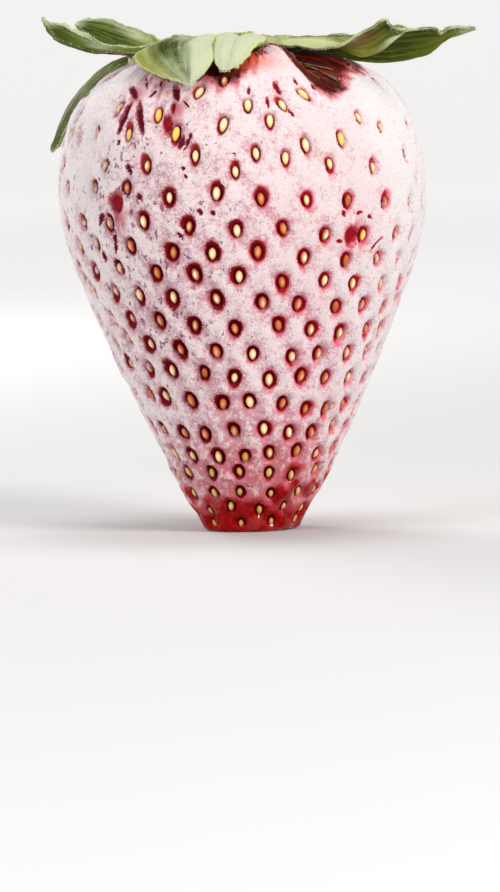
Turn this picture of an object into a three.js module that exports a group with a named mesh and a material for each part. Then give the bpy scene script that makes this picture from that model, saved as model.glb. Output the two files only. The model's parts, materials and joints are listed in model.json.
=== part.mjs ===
// A strawberry standing on the small flat spot at its tip, with its calyx on top.
// Millimetres, +Z up. The origin is the middle of the flat spot that the berry rests on.
// The flesh is one solid. The calyx is a disc with the stub of the stem on it, and round
// the disc stand the sepals and the smaller bracts between them, each a thin solid leaf.
// Azimuths are in degrees about +Z: 0 points along +X, and -90 is the side seen first.

import * as THREE from 'three';
import { mergeVertices } from 'three/addons/utils/BufferGeometryUtils.js';

// ---- driving dimensions ----

const restRadius = 4.3;        // flat spot at the tip
const bellyRadius = 18.0;      // widest girth, at bellyHeight
const bellyHeight = 33.0;
const shoulderRadius = 13.2;   // where the side turns over into the top
const shoulderHeight = 44.9;
const rimHeight = 46.7;        // low rim of flesh round the calyx
const crownHeight = 46.3;      // hollow of the flesh under the disc
const depthShare = 0.96;       // front to back against side to side

const fleshRows = 32;          // facets from the flat spot to the crown
const fleshSectors = 56;       // facets round the axis

const gap = 0.35;              // clearance between touching pieces
const discRadius = 4.3;
const discThickness = 1.15;
const dishDepth = 0.45;        // the middle of the disc is dished by this much

const stubRadius = 1.25;
const stubHeight = 0.9;
const discSectors = 28;
const stubSectors = 20;

const leafThickness = 0.4;
const leafRows = 10;           // facets along a leaf
const leafColumns = 4;         // facets across it
const leafBaseShare = 0.3;     // width at the disc against the widest
const leafTipShare = 0.08;     // width of the blunt point against the widest
const leafWidest = 0.52;       // where along its length a leaf is widest
const leafPointing = 1.6;      // below 2 the point is slim, above it is full
const leafStart = discRadius + gap;

// The leaves leave the disc in two tiers.
const lowTier = 47.05;
const highTier = 47.7;

// Each leaf runs outwards through [reach from the axis, height] points. cup lifts its edges
// (or drops them, if negative) by that share of half its width, sweep turns it sideways
// along its length, and roll tips it about its own midrib. Angles are in degrees.
const leaves = [
  { name: 'sepal_right', tier: lowTier, azimuth: 3, sweep: 0, width: 6.0, cup: 0.6, roll: 0,
    path: [[8, 46.9], [13.2, 46.3], [18, 46.5], [23, 48.7]] },
  { name: 'bract_right', tier: highTier, azimuth: -21, sweep: 0, width: 4.4, cup: 0.3, roll: 0,
    path: [[8.2, 47.9], [12.6, 47.5], [17.0, 49.3]] },
  { name: 'sepal_back_right', tier: lowTier, azimuth: 46, sweep: 0, width: 6.6, cup: 0.1, roll: 0,
    path: [[8, 47.5], [14, 47.3], [19, 46.4]] },
  { name: 'bract_back_right', tier: highTier, azimuth: 72, sweep: 4, width: 4.0, cup: 0.1, roll: 0,
    path: [[8, 48.3], [13, 48.2], [16.5, 46.6]] },
  { name: 'sepal_back', tier: lowTier, azimuth: 100, sweep: 0, width: 7.0, cup: 0.1, roll: 0,
    path: [[8, 47.4], [14, 47.0], [19, 44.4]] },
  { name: 'bract_back_left', tier: highTier, azimuth: 119, sweep: -4, width: 4.2, cup: 0.1,
    roll: 0, path: [[8, 48.3], [13, 48.4], [16.5, 47.0]] },
  { name: 'sepal_left_upper', tier: highTier, azimuth: 154, sweep: 7, width: 5.8, cup: 0.15,
    roll: 16, path: [[8, 48.4], [12.5, 49.5], [17.2, 49.8]] },
  { name: 'sepal_left_low', tier: lowTier, azimuth: 176, sweep: -2, width: 4.6, cup: -0.1,
    roll: 0, path: [[9.2, 47.2], [14.9, 44.5], [18.0, 40.7], [19.2, 37.3]] },
  { name: 'sepal_left_long', tier: highTier, azimuth: 192, sweep: -2, width: 4.8, cup: 0.3,
    roll: 0, path: [[8, 47.9], [14, 47.6], [19.4, 50.1]] },
  { name: 'bract_front_left', tier: lowTier, azimuth: 212, sweep: 2, width: 4.2, cup: -0.1,
    roll: 0, path: [[7.6, 47.3], [10.6, 46.9], [13.4, 46.0]] },
  { name: 'sepal_front', tier: highTier, azimuth: 229, sweep: 20, width: 7.6, cup: -0.25,
    roll: 0, path: [[7.6, 48.5], [12.6, 47.6], [15.9, 43.6]] },
  { name: 'bract_front', tier: lowTier, azimuth: 269, sweep: -10, width: 4.8, cup: -0.1,
    roll: 0, path: [[7.4, 47.38], [10.4, 46.94], [12.9, 45.9]] },
];

// Furrows that run up the shoulder to the calyx, between low ridges of flesh.
const furrowCount = 7;
const furrowDepth = 0.35;
const hollowAzimuth = -48;     // the one deep hollow, under the right-hand leaves
const hollowWidth = 12;        // degrees, half
const hollowDepth = 1.4;
const neckAzimuth = -65;       // beside it a ridge of flesh climbs to the calyx
const neckWidth = 10;          // degrees, half
const neckRise = 1.25;

// ---- materials ----

const frostedFlesh = new THREE.MeshStandardMaterial({ color: 0xe3bcc2, roughness: 0.7, metalness: 0 });
const leafGreen = new THREE.MeshStandardMaterial({ color: 0x93a868, roughness: 0.65, metalness: 0 });
const discGreen = new THREE.MeshStandardMaterial({ color: 0xb4c078, roughness: 0.65, metalness: 0 });
const stemGreen = new THREE.MeshStandardMaterial({ color: 0xa3a886, roughness: 0.8, metalness: 0 });

const radians = THREE.MathUtils.degToRad;

function named(name, geometry, material) {
  const mesh = new THREE.Mesh(geometry, material);
  mesh.name = name;
  return mesh;
}

// A round solid about +Z from [radius, height] points, low to high, on the axis at both ends.
function turned(points, sectors) {
  const profile = points.map(([radius, height]) => new THREE.Vector2(radius, height));
  return new THREE.LatheGeometry(profile, sectors).rotateX(Math.PI / 2);
}

// Shares one vertex between the facets that meet there, and moves each vertex.
function reshaped(geometry, move) {
  geometry.deleteAttribute('normal');
  geometry.deleteAttribute('uv');
  const merged = mergeVertices(geometry, 1e-3);
  const position = merged.getAttribute('position');
  const point = new THREE.Vector3();
  for (let i = 0; i < position.count; i += 1) {
    point.fromBufferAttribute(position, i);
    move(point);
    position.setXYZ(i, point.x, point.y, point.z);
  }
  merged.computeVertexNormals();
  return merged;
}

// ---- flesh ----

// The side of the berry, from the flat spot up to the crown: a blunt cone that swells to the
// belly and turns in over the shoulder.
function fleshOutline() {
  const side = new THREE.SplineCurve([
    [restRadius, 0], [5.9, 1.9], [7.75, 5.2], [10.1, 10], [12.8, 16], [15.2, 22],
    [17.1, 27.5], [bellyRadius, bellyHeight], [17.3, 38.4], [15.6, 42.1],
    [shoulderRadius, shoulderHeight], [9.8, 46.1], [6.6, rimHeight], [4.9, crownHeight],
  ].map(([radius, height]) => new THREE.Vector2(radius, height)));
  const points = side.getSpacedPoints(fleshRows);
  return [[0, 0], ...points.map((p) => [p.x, p.y]), [0, crownHeight]];
}

// 1 at the middle azimuth, falling away on both sides of it.
function near(azimuth, middle, halfWidth) {
  const turn = Math.atan2(
    Math.sin(azimuth - radians(middle)), Math.cos(azimuth - radians(middle)));
  return Math.exp(-((turn / radians(halfWidth)) ** 2));
}

// How far the flesh sinks into its furrows at this azimuth, in millimetres, before the fade.
function furrow(azimuth) {
  const waves = furrowDepth * (0.5 + 0.5 * Math.cos(furrowCount * azimuth));
  return waves + hollowDepth * near(azimuth, hollowAzimuth, hollowWidth);
}

// How far the neck ridge climbs here, in millimetres.
function neck(azimuth, radius, height) {
  if (height < 42) return 0;
  const inner = THREE.MathUtils.smoothstep(radius, 4.9, 6.8);
  const outer = 1 - THREE.MathUtils.smoothstep(radius, 8.2, 13);
  return neckRise * near(azimuth, neckAzimuth, neckWidth) * inner * outer;
}

function flesh() {
  const fadeLow = 41;          // furrows start here, on the side
  const fadeHigh = 45.5;       // and are full from here up
  const fadeIn = 3;            // and fade again towards the disc over this far
  const shape = reshaped(turned(fleshOutline(), fleshSectors), (point) => {
    const radius = Math.hypot(point.x, point.y);
    const azimuth = Math.atan2(point.y, point.x);
    const fade = THREE.MathUtils.smoothstep(point.z, fadeLow, fadeHigh)
      * THREE.MathUtils.smoothstep(radius, discRadius, discRadius + fadeIn);
    point.z += neck(azimuth, radius, point.z) - fade * furrow(azimuth);
    point.y *= 1 - (1 - depthShare) * Math.sin(Math.PI * point.z / crownHeight);
  });
  return named('berry', shape, frostedFlesh);
}

// ---- calyx ----

function disc() {
  const low = crownHeight + gap;
  const high = low + discThickness;
  const edge = 0.25;           // rounding at the rim
  const dish = 2.6;            // radius where the dished middle starts
  const points = [
    [0, low], [discRadius - edge, low], [discRadius, low + edge],
    [discRadius, high - edge], [discRadius - edge, high], [dish, high],
    [stubRadius + gap, high - dishDepth], [0, high - dishDepth],
  ];
  return named('calyx_disc', turned(points, discSectors), discGreen);
}

function stub() {
  const edge = 0.2;
  const points = [
    [0, 0], [stubRadius, 0], [stubRadius, stubHeight - edge],
    [stubRadius - edge, stubHeight], [0, stubHeight],
  ];
  const mesh = named('stem_stub', turned(points, stubSectors), stemGreen);
  mesh.position.z = crownHeight + gap + discThickness - dishDepth + gap;
  return mesh;
}

// Half the width of a leaf at a share of its length, as a share of its widest.
function leafOutline(along) {
  if (along < leafWidest) {
    const rise = Math.sin((along / leafWidest) * Math.PI / 2);
    return leafBaseShare + (1 - leafBaseShare) * rise;
  }
  const fall = (along - leafWidest) / (1 - leafWidest);
  return leafTipShare + (1 - leafTipShare) * (1 - fall ** leafPointing);
}

// A flat slab bent along the leaf's midrib, tapered, cupped and rolled.
function leaf({ name, tier, azimuth, sweep, width, cup, roll, path }) {
  const midrib = new THREE.CatmullRomCurve3(
    [[leafStart, tier], ...path].map(([reach, height], i, all) => {
      const turn = radians(azimuth + sweep * i / (all.length - 1));
      return new THREE.Vector3(reach * Math.cos(turn), reach * Math.sin(turn), height);
    }));
  const up = new THREE.Vector3(0, 0, 1);
  const slab = new THREE.BoxGeometry(1, 1, leafThickness, leafRows, leafColumns, 1);
  const shape = reshaped(slab, (point) => {
    const along = THREE.MathUtils.clamp(point.x + 0.5, 0, 1);
    const across = point.y * 2;
    const centre = midrib.getPoint(along);
    const forward = midrib.getTangent(along);
    const side = new THREE.Vector3().crossVectors(up, forward).normalize();
    side.applyAxisAngle(forward, radians(roll) * along);
    const normal = new THREE.Vector3().crossVectors(forward, side);
    const half = width / 2 * leafOutline(along);
    const lift = cup * along * half * across * across + point.z;
    point.copy(centre).addScaledVector(side, across * half).addScaledVector(normal, lift);
  });
  return named(name, shape, leafGreen);
}

const strawberry = new THREE.Group();
strawberry.add(flesh(), disc(), stub(), ...leaves.map(leaf));

export default strawberry;
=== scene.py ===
# A frosted strawberry standing on its thawed tip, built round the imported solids.
# Settings are in millimetres and degrees, the meshes in metres.
import json
import math
import random
import bpy
import numpy as np
from mathutils import Matrix, Vector

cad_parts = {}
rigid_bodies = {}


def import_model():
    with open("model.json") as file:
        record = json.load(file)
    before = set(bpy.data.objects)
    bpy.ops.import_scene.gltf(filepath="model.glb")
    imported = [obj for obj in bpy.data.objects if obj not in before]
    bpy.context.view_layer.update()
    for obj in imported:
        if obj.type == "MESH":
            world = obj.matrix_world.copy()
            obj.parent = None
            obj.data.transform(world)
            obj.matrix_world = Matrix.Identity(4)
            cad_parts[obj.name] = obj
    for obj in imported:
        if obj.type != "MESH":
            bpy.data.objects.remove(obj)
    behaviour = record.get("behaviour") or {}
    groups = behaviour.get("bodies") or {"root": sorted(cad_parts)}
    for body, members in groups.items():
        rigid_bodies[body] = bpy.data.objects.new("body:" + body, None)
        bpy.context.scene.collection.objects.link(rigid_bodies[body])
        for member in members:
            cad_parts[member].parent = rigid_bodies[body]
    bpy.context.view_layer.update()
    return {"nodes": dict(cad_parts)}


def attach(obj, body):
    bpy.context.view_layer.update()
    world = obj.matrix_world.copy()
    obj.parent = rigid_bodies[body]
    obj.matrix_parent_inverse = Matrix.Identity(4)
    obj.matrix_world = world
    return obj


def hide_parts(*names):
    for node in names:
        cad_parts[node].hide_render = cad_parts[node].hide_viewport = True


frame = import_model()
mm = 0.001
random.seed(20)
print("frame loaded with", len(frame["nodes"]), "nodes")


# helpers for numbers

def smoothstep(low, high, value):
    share = np.clip((value - low) / (high - low), 0, 1)
    return share * share * (3 - 2 * share)


def bell(gap, width, power=2):  # 1 at no gap, falling off softly over that width
    return np.exp(-(gap / width) ** power)


def shrink(least, share):  # 1 at no share, down to the least at the whole of it
    return 1 - (1 - least) * share


def unit(rows):
    return rows / np.linalg.norm(rows, axis=-1)[..., None]


def wrapped(turn):  # degrees, brought to -180..180
    return (turn + 180) % 360 - 180


def smoothLine(points, count):
    # a smooth curve through the points, evenly stepped, as rows of numbers
    points = np.array(points, float)
    before, after = 2 * points[0] - points[1], 2 * points[-1] - points[-2]
    knots = np.vstack([before, points, after])
    fine = []
    for i in range(1, len(knots) - 2):
        a, b, c, d = knots[i - 1:i + 3]
        for t in np.linspace(0, 1, 24, endpoint=False):
            fine.append(0.5 * (2 * b + (c - a) * t + (2 * a - 5 * b + 4 * c - d) * t ** 2
                               + (3 * b - a - 3 * c + d) * t ** 3))
    fine = np.array(fine + [points[-1]])
    steps = np.linalg.norm(np.diff(fine, axis=0), axis=1)
    arc = np.concatenate([[0], np.cumsum(steps)])
    wanted = np.linspace(0, arc[-1], count)
    return np.stack([np.interp(wanted, arc, column) for column in fine.T], axis=1)


def grain(points, size, number=0):
    # soft noise of about that grain size in mm, from -1 to 1, at points in metres
    place = points / (size * mm) + number * 7.13
    cell = np.floor(place).astype(np.int64)
    inside = place - cell
    inside = inside * inside * (3 - 2 * inside)
    total = np.zeros(len(points))
    for corner in range(8):
        step = np.array([corner & 1, corner >> 1 & 1, corner >> 2])
        share = np.prod(np.where(step, inside, 1 - inside), axis=1)
        x, y, z = (cell + step).T
        mixed = (x * 73856093) ^ (y * 19349663) ^ (z * 83492791) ^ (number * 2654435)
        mixed = (mixed ^ (mixed >> 13)) * 1274126177
        total += share * (((mixed ^ (mixed >> 16)) & 65535) / 65535)
    return np.clip((total - 0.5) * 2.6, -1, 1)


def grains(points, layers, start=0):  # layers are depth, grain size and number
    return sum((depth * grain(points, size, number) for depth, size, number in layers), start)


# helpers for meshes

def deselectAll():
    bpy.ops.object.select_all(action="DESELECT")


def newPiece(name):  # the primitive that was just added, under its own name
    bpy.context.object.name = name
    return bpy.context.object


def readAll(source, key, kind=float, columns=1):
    flat = np.zeros(len(source) * columns, kind)
    source.foreach_get(key, flat)
    return flat.reshape(-1, columns) if columns > 1 else flat


def readPoints(piece):
    return readAll(piece.data.vertices, "co", columns=3)


def readNormals(piece):
    return readAll(piece.data.vertex_normals, "vector", np.float32, 3).astype(float)


def readValue(piece, name):
    return readAll(piece.data.attributes[name].data, "value")


def writePoints(piece, points):
    piece.data.vertices.foreach_set("co", points.astype(np.float32).ravel())
    piece.data.update()


def pointValue(piece, name, values):
    made = piece.data.attributes.new(name, "FLOAT", "POINT")
    made.data.foreach_set("value", np.asarray(values, np.float32))


def takeValue(piece, name):
    values = readValue(piece, name)
    piece.data.attributes.remove(piece.data.attributes[name])
    return values


def writeMap(piece, name, across, along):
    made = piece.data.uv_layers[0]
    made.name = name
    made.data.foreach_set("uv", np.stack([across, along], axis=1).astype(np.float32).ravel())


def pick(piece, kind, chosen, fresh=True):
    # into edit mode with the chosen faces or edges selected, and nothing else when fresh
    if fresh:
        bpy.ops.object.mode_set(mode="EDIT")
        bpy.ops.mesh.select_mode(type=kind)
        bpy.ops.mesh.select_all(action="DESELECT")
    bpy.ops.object.mode_set(mode="OBJECT")
    for part in piece.data.polygons if kind == "FACE" else piece.data.edges:
        part.select = chosen(part)
    bpy.ops.object.mode_set(mode="EDIT")


def faceOutwards(merge=0):
    bpy.ops.object.mode_set(mode="EDIT")
    bpy.ops.mesh.select_all(action="SELECT")
    if merge:
        bpy.ops.mesh.remove_doubles(threshold=merge)
    bpy.ops.mesh.normals_make_consistent(inside=False)
    bpy.ops.object.mode_set(mode="OBJECT")


def copyOf(shape):
    made = shape.copy()
    made.data = shape.data.copy()
    bpy.context.scene.collection.objects.link(made)
    return made


def joinCopies(copies, shape, name):
    # all the copies become one piece, and the shape they were made from goes
    deselectAll()
    for made in copies:
        made.select_set(True)
    bpy.context.view_layer.objects.active = copies[0]
    bpy.ops.object.join()
    bpy.data.objects.remove(shape)
    return newPiece(name)


def finishPiece(piece, replaced=()):
    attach(piece, "root")
    if replaced:
        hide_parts(*replaced)
    return piece


# helpers for materials: a value is a number, a colour or a node's socket

def isSocket(value):
    return isinstance(value, bpy.types.NodeSocket)


def feed(node, values):
    # constants go on the node's own sockets, and sockets are linked to them
    for key, value in values.items():
        if isSocket(value):
            value.id_data.links.new(value, node.inputs[key])
        elif value is not None:
            node.inputs[key].default_value = value


def addNode(tree, kind, values=None, **settings):
    made = tree.nodes.new("ShaderNode" + kind)
    for key, setting in settings.items():
        setattr(made, key, setting)
    feed(made, values or {})
    return made


def newMaterial(name):
    material = bpy.data.materials.new(name)
    material.use_nodes = True
    return material, material.node_tree


def dress(material, values):
    feed(material.node_tree.nodes["Principled BSDF"], values)
    return material


def treeOf(*values):
    return next(value.id_data for value in values if isSocket(value))


def calculate(operation, a, b=None, clamp=False):
    made = addNode(treeOf(a, b), "Math", {0: a, 1: b}, operation=operation, use_clamp=clamp)
    return made.outputs[0]


def plus(total, *others):
    for other in others:
        total = calculate("ADD", total, other)
    return total


def minus(a, b):
    return calculate("SUBTRACT", a, b)


def times(a, b):
    return calculate("MULTIPLY", a, b)


def offset(value, middle, amount):  # how far the value is from its middle, times the amount
    return times(minus(value, middle), amount)


def distance(a, b):
    return calculate("SQRT", plus(times(a, a), times(b, b)))


def ramp(value, low, high, toLow=0.0, toHigh=1.0):
    made = addNode(value.id_data, "MapRange", {
        "Value": value, "From Min": low, "From Max": high, "To Min": toLow, "To Max": toHigh},
        interpolation_type="SMOOTHSTEP")
    return made.outputs["Result"]


def mixColour(share, a, b):
    made = addNode(treeOf(share, a, b), "Mix", {"Factor": share}, data_type="RGBA")
    spots = [i for i, socket in enumerate(made.inputs) if socket.type == "RGBA"]
    feed(made, {i: value if isSocket(value) else (*value, 1) for i, value in zip(spots, (a, b))})
    return next(socket for socket in made.outputs if socket.type == "RGBA")


def stretched(vector, scale):
    return addNode(vector.id_data, "Mapping", {"Scale": scale, "Vector": vector}).outputs["Vector"]


def placeOf(tree):  # the piece's own coordinates
    return addNode(tree, "TexCoord").outputs["Object"]


def split(vector):  # its X, Y and Z, by name
    return addNode(vector.id_data, "SeparateXYZ", {"Vector": vector}).outputs


def noiseOf(tree, size, detail=3.0, roughness=0.55, stretch=None):
    # noise on the piece's own coordinates, with grains of that size in mm
    place = stretched(placeOf(tree), stretch) if stretch else placeOf(tree)
    return addNode(tree, "TexNoise", {"Vector": place, "Scale": 1 / (size * mm), "Detail": detail,
                                      "Roughness": roughness}).outputs["Fac"]


def valueOf(tree, name):
    return addNode(tree, "Attribute", attribute_name=name).outputs["Fac"]


def valuesOf(tree, names):
    return [valueOf(tree, name) for name in names.split()]


def mapOf(tree, name):
    return addNode(tree, "UVMap", uv_map=name).outputs["UV"]


def bumpOf(height, depth, strength=1.0):
    return addNode(height.id_data, "Bump", {
        "Strength": strength, "Distance": depth * mm, "Height": height}).outputs["Normal"]


# camera, floor and light

camera = {"place": (0, -500, 44.3), "down": 4.14, "roll": -1.34, "lens": 205.7, "clip": 10}
studio = {"floor": (0.62, 0.61, 0.605), "mottled": 0.985, "radius": 1700, "wall": 420, "bend": 380,
          "sides": 96, "bends": 24, "apron": 60, "aim": 26,
          "glowFrom": 60, "glowTo": 700, "glow": 0.58, "glowTone": (1, 0.985, 0.975),
          "sky": 0.32, "skyTone": (0.95, 0.97, 1.0)}
lamps = [  # name, place, size, power, colour
    ("keyLamp", (330, -340, 260), 190, 2.3, (1.0, 0.98, 0.96)),
    ("fillLamp", (-420, -260, 140), 300, 1.15, (0.94, 0.97, 1.0)),
    ("topLamp", (40, 40, 480), 240, 0.9, (1.0, 1.0, 1.0)),
    ("backLamp", (-260, 380, 220), 240, 1.3, (1.0, 0.98, 0.96)),
]


def makeCamera():
    bpy.ops.object.camera_add(location=Vector(camera["place"]) * mm)
    made = bpy.context.object
    made.matrix_world = (Matrix.Translation(made.location)
                         @ Matrix.Rotation(math.radians(90 - camera["down"]), 4, "X")
                         @ Matrix.Rotation(math.radians(camera["roll"]), 4, "Z"))
    made.data.lens = camera["lens"]
    made.data.clip_start = camera["clip"] * mm
    bpy.context.scene.camera = made


def makeFloor():
    # a round floor whose rim sweeps up, so that the ground is pale from every side
    deselectAll()
    bpy.ops.mesh.primitive_circle_add(vertices=studio["sides"], radius=studio["radius"] * mm,
                                      fill_type="NGON")
    floor = newPiece("studioFloor")
    bpy.ops.object.mode_set(mode="EDIT")
    bpy.ops.mesh.select_mode(type="EDGE")
    bpy.ops.mesh.select_all(action="SELECT")
    bpy.ops.mesh.extrude_edges_move(TRANSFORM_OT_translate={"value": (0, 0, studio["wall"] * mm)})
    bpy.ops.object.mode_set(mode="OBJECT")
    bend = floor.modifiers.new("sweep", "BEVEL")
    bend.width = studio["bend"] * mm
    bend.segments = studio["bends"]
    bpy.ops.object.modifier_apply(modifier="sweep")
    pick(floor, "FACE", lambda face: face.area > 1)     # the flat middle, in square metres
    bpy.ops.mesh.inset(thickness=studio["apron"] * mm, depth=0)
    bpy.ops.object.mode_set(mode="OBJECT")
    bpy.ops.object.shade_smooth()
    material, tree = newMaterial("studioPaper")
    tone = mixColour(noiseOf(tree, 60), [c * studio["mottled"] for c in studio["floor"]],
                     studio["floor"])
    # far from the lamps the paper is lit by a glow of its own
    place = split(placeOf(tree))
    far = ramp(distance(place["X"], place["Y"]), studio["glowFrom"] * mm, studio["glowTo"] * mm)
    floor.data.materials.append(dress(material, {
        "Base Color": tone, "Roughness": 0.85, "Emission Strength": studio["glow"],
        "Emission Color": mixColour(far, (0, 0, 0), studio["glowTone"])}))


def makeLamps():
    for name, place, size, power, colour in lamps:
        bpy.ops.object.light_add(type="AREA", location=Vector(place) * mm)
        lamp = newPiece(name)
        lamp.data.shape = "DISK"
        lamp.data.size = size * mm
        lamp.data.energy = power
        lamp.data.color = colour
        aim = Vector((0, 0, studio["aim"] * mm)) - lamp.location
        lamp.rotation_euler = aim.to_track_quat("-Z", "Y").to_euler()
    world = bpy.data.worlds.new("studioAir")
    world.use_nodes = True
    feed(world.node_tree.nodes["Background"], {"Color": (*studio["skyTone"], 1),
                                               "Strength": studio["sky"]})
    bpy.context.scene.world = world
    bpy.context.scene.view_settings.view_transform = "Standard"


makeCamera()
makeFloor()
makeLamps()
print("camera, floor and lamps are in place")


# the berry's skin, as a place for every turn and arc
# turn is in degrees from the front towards +X, arc in mm up the side from the rest spot's rim

skin = {
    "outline": [(4.3, 0), (4.85, 0.25), (5.35, 1.0), (5.85, 2), (7.05, 4), (8.15, 6), (9.6, 9),
                (11.9, 14), (14.5, 20), (16.75, 26), (17.75, 30), (18.0, 33.5), (17.75, 36.5),
                (16.9, 40), (15.85, 42), (14.3, 44), (12.6, 45.2), (10.6, 46.0), (8.4, 46.5),
                (6.4, 46.7), (4.9, 46.3)],
    "depthShare": 0.96, "crown": 46.3,
    "furrows": 7, "furrowDepth": 0.35, "fadeUp": (41, 45.5), "fadeOut": (4.5, 7.5),
    "hollowTurn": 42, "hollowWidth": 12, "hollowDepth": 1.4,
    "neckTurn": 28, "neckWidth": 9, "neckRise": 1.25, "neckInner": (4.9, 6.8), "neckOuter": (13, 8.2),
    "neckAbove": 42, "sideFrom": (0.1, 1.6), "sideTo": (1, 6),
    "sectors": 416, "rings": 234, "ringsFlat": 5, "ringsTop": 8,
}
outline = smoothLine(skin["outline"], 900)
outlineArc = np.concatenate(
    [[0], np.cumsum(np.linalg.norm(np.diff(outline, axis=0), axis=1))])
sideArc = outlineArc[-1]


def skinPoint(turn, arc):
    # points of the smooth skin in mm, with no pits; arc below 0 is the flat, past sideArc the top
    turn, arc = np.asarray(turn, float), np.asarray(arc, float)
    radius = np.interp(arc, outlineArc, outline[:, 0])
    height = np.interp(arc, outlineArc, outline[:, 1])
    radius = np.where(arc < 0, outline[0, 0] + arc, radius)
    radius = np.where(arc > sideArc, outline[-1, 0] - (arc - sideArc), radius)
    angle = np.radians(turn)
    # slow swells, so that no two sides are alike
    swell = (0.010 * np.cos(angle + 1.4) * smoothstep(20, 38, height)
             + 0.008 * np.cos(2 * angle - 0.6 + height / 16)
             + 0.005 * np.cos(3 * angle + 2.0 - height / 11))
    radius = radius * (1 + swell * smoothstep(0.5, 8, height) * smoothstep(4, 10, radius))
    fade = smoothstep(*skin["fadeUp"], height) * smoothstep(*skin["fadeOut"], radius)
    sink = (skin["furrowDepth"] * (0.5 + 0.5 * np.cos(skin["furrows"] * (angle - math.pi / 2)))
            + skin["hollowDepth"] * bell(wrapped(turn - skin["hollowTurn"]), skin["hollowWidth"]))
    neck = (skin["neckRise"] * bell(wrapped(turn - skin["neckTurn"]), skin["neckWidth"])
            * smoothstep(*skin["neckInner"], radius) * smoothstep(*skin["neckOuter"], radius)
            * (height > skin["neckAbove"]))
    depth = 1 - (1 - skin["depthShare"]) * np.sin(np.pi * height / skin["crown"])
    return np.stack([radius * np.sin(angle), -radius * np.cos(angle) * depth,
                     height - fade * sink + neck], axis=-1)


def skinFrame(turn, arc):
    # point, outward normal and the direction up the side, at one place on the skin
    step = 0.05
    up = unit(skinPoint(turn, arc + step) - skinPoint(turn, arc - step))
    across = skinPoint(turn + step, arc) - skinPoint(turn - step, arc)
    return skinPoint(turn, arc), unit(np.cross(across, up)), up


def gapFrom(place, height, turn, arc, radius):
    # how far places on the skin lie from one of them, in mm: across and up the side
    return np.radians(wrapped(turn - place)) * radius, arc - height


# pits and bare marks on the skin

pits = {
    "rings": [  # arc, count round the ring, turn of one of them
        (1.1, 10, 22), (2.8, 13, -20), (4.7, 14, -8), (6.9, 17, 12), (9.1, 20, -4), (11.7, 22, 7),
        (14.7, 24, 1), (17.7, 24, -5.5), (20.4, 24, 2.5), (23, 24, -4), (25.5, 24, 4.5), (28, 24, -2.5),
        (30.5, 24, 5), (33, 24, -2.5), (36.1, 24, 5.5), (38.7, 24, -2), (41.2, 24, 4), (43.6, 22, 9),
        (46.2, 18, 2), (48.8, 13, 12)],
    "drift": 1.2, "driftLow": 10, "driftHigh": 17,   # rings sink towards +X, but not at the tip
    "turnJitter": 1.5, "arcJitter": 0.35, "tiltJitter": 9, "sizes": (0.90, 1.06), "depths": (0.85, 1.1),
    "halfWidth": 0.76, "halfLength": 1.04, "depth": 0.50, "egg": 0.16,
    "wallFoot": 0.66, "wallTop": 1.05, "narrowFrom": 33, "narrowTo": 44, "narrow": 0.74,
    "upperFrom": 38, "upperTurn": 64, "upperWidth": 0.56, "upperLength": 1.12,
    "tipFrom": 9, "tipTo": 3, "tipSize": 0.74, "grown": (0.91, 1.13), "aside": 0.10,
    "reach": 5, "rim": 0.88, "rimWidth": 0.34, "gather": 0.55,
    "lip": 0.05, "lipAt": 1.22, "lipWidth": 0.16,
}
upperSeeds = [  # turn, arc, lean, tone, gold, size: those near the leaves at the front
    (-47.2, 45.2, -6, 0.75, 0.3, 1), (-55, 42.7, -8, 0.2, 0.2, 0.7), (-39.2, 42.4, -5, 0.1, 0.9, 0.9),
    (-29.2, 44.4, 6, 0.72, 1, 1.05), (-21.8, 42.4, 0, 0.1, 0.8, 1.05), (-15, 40.2, 0, 0.1, 0.4, 1),
    (-31, 39.3, 6, 0.55, 0.3, 1), (-48.2, 39.4, -6, 0.2, 0.5, 0.9), (-15.8, 47.1, -10, 0.1, 0.3, 1),
    (-6.2, 43.2, -16, 0.05, 0.1, 1), (2, 45.3, 0, 0.1, 0.4, 1), (4, 40.3, 0, 0.05, 0.1, 1),
    (9, 43.5, 3, 0.1, 0.4, 1), (14, 45.2, 25, 0.42, 0.2, 0.9), (22.8, 46.5, 30, 0.15, 0.5, 1),
    (20.2, 41, 5, 0.05, 0.2, 1.05), (13.2, 39.8, 3, 0.15, 0.4, 1), (27.8, 39.1, 0, 0.15, 0.5, 1),
    (33.2, 41.5, 4, 0.1, 0.9, 1), (42.5, 43.6, 8, 0.05, 0.4, 0.8), (52.5, 42.5, 6, 0.2, 0.5, 0.8),
    (45.2, 38.6, -5, 0.3, 0.3, 1), (-7, 48.8, -4, 0.8, 0.3, 1), (-64.5, 42.1, -6, 0.2, 0.3, 0.8),
    (-2.5, 38.6, 0, 0.05, 0.2, 1)]
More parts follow.
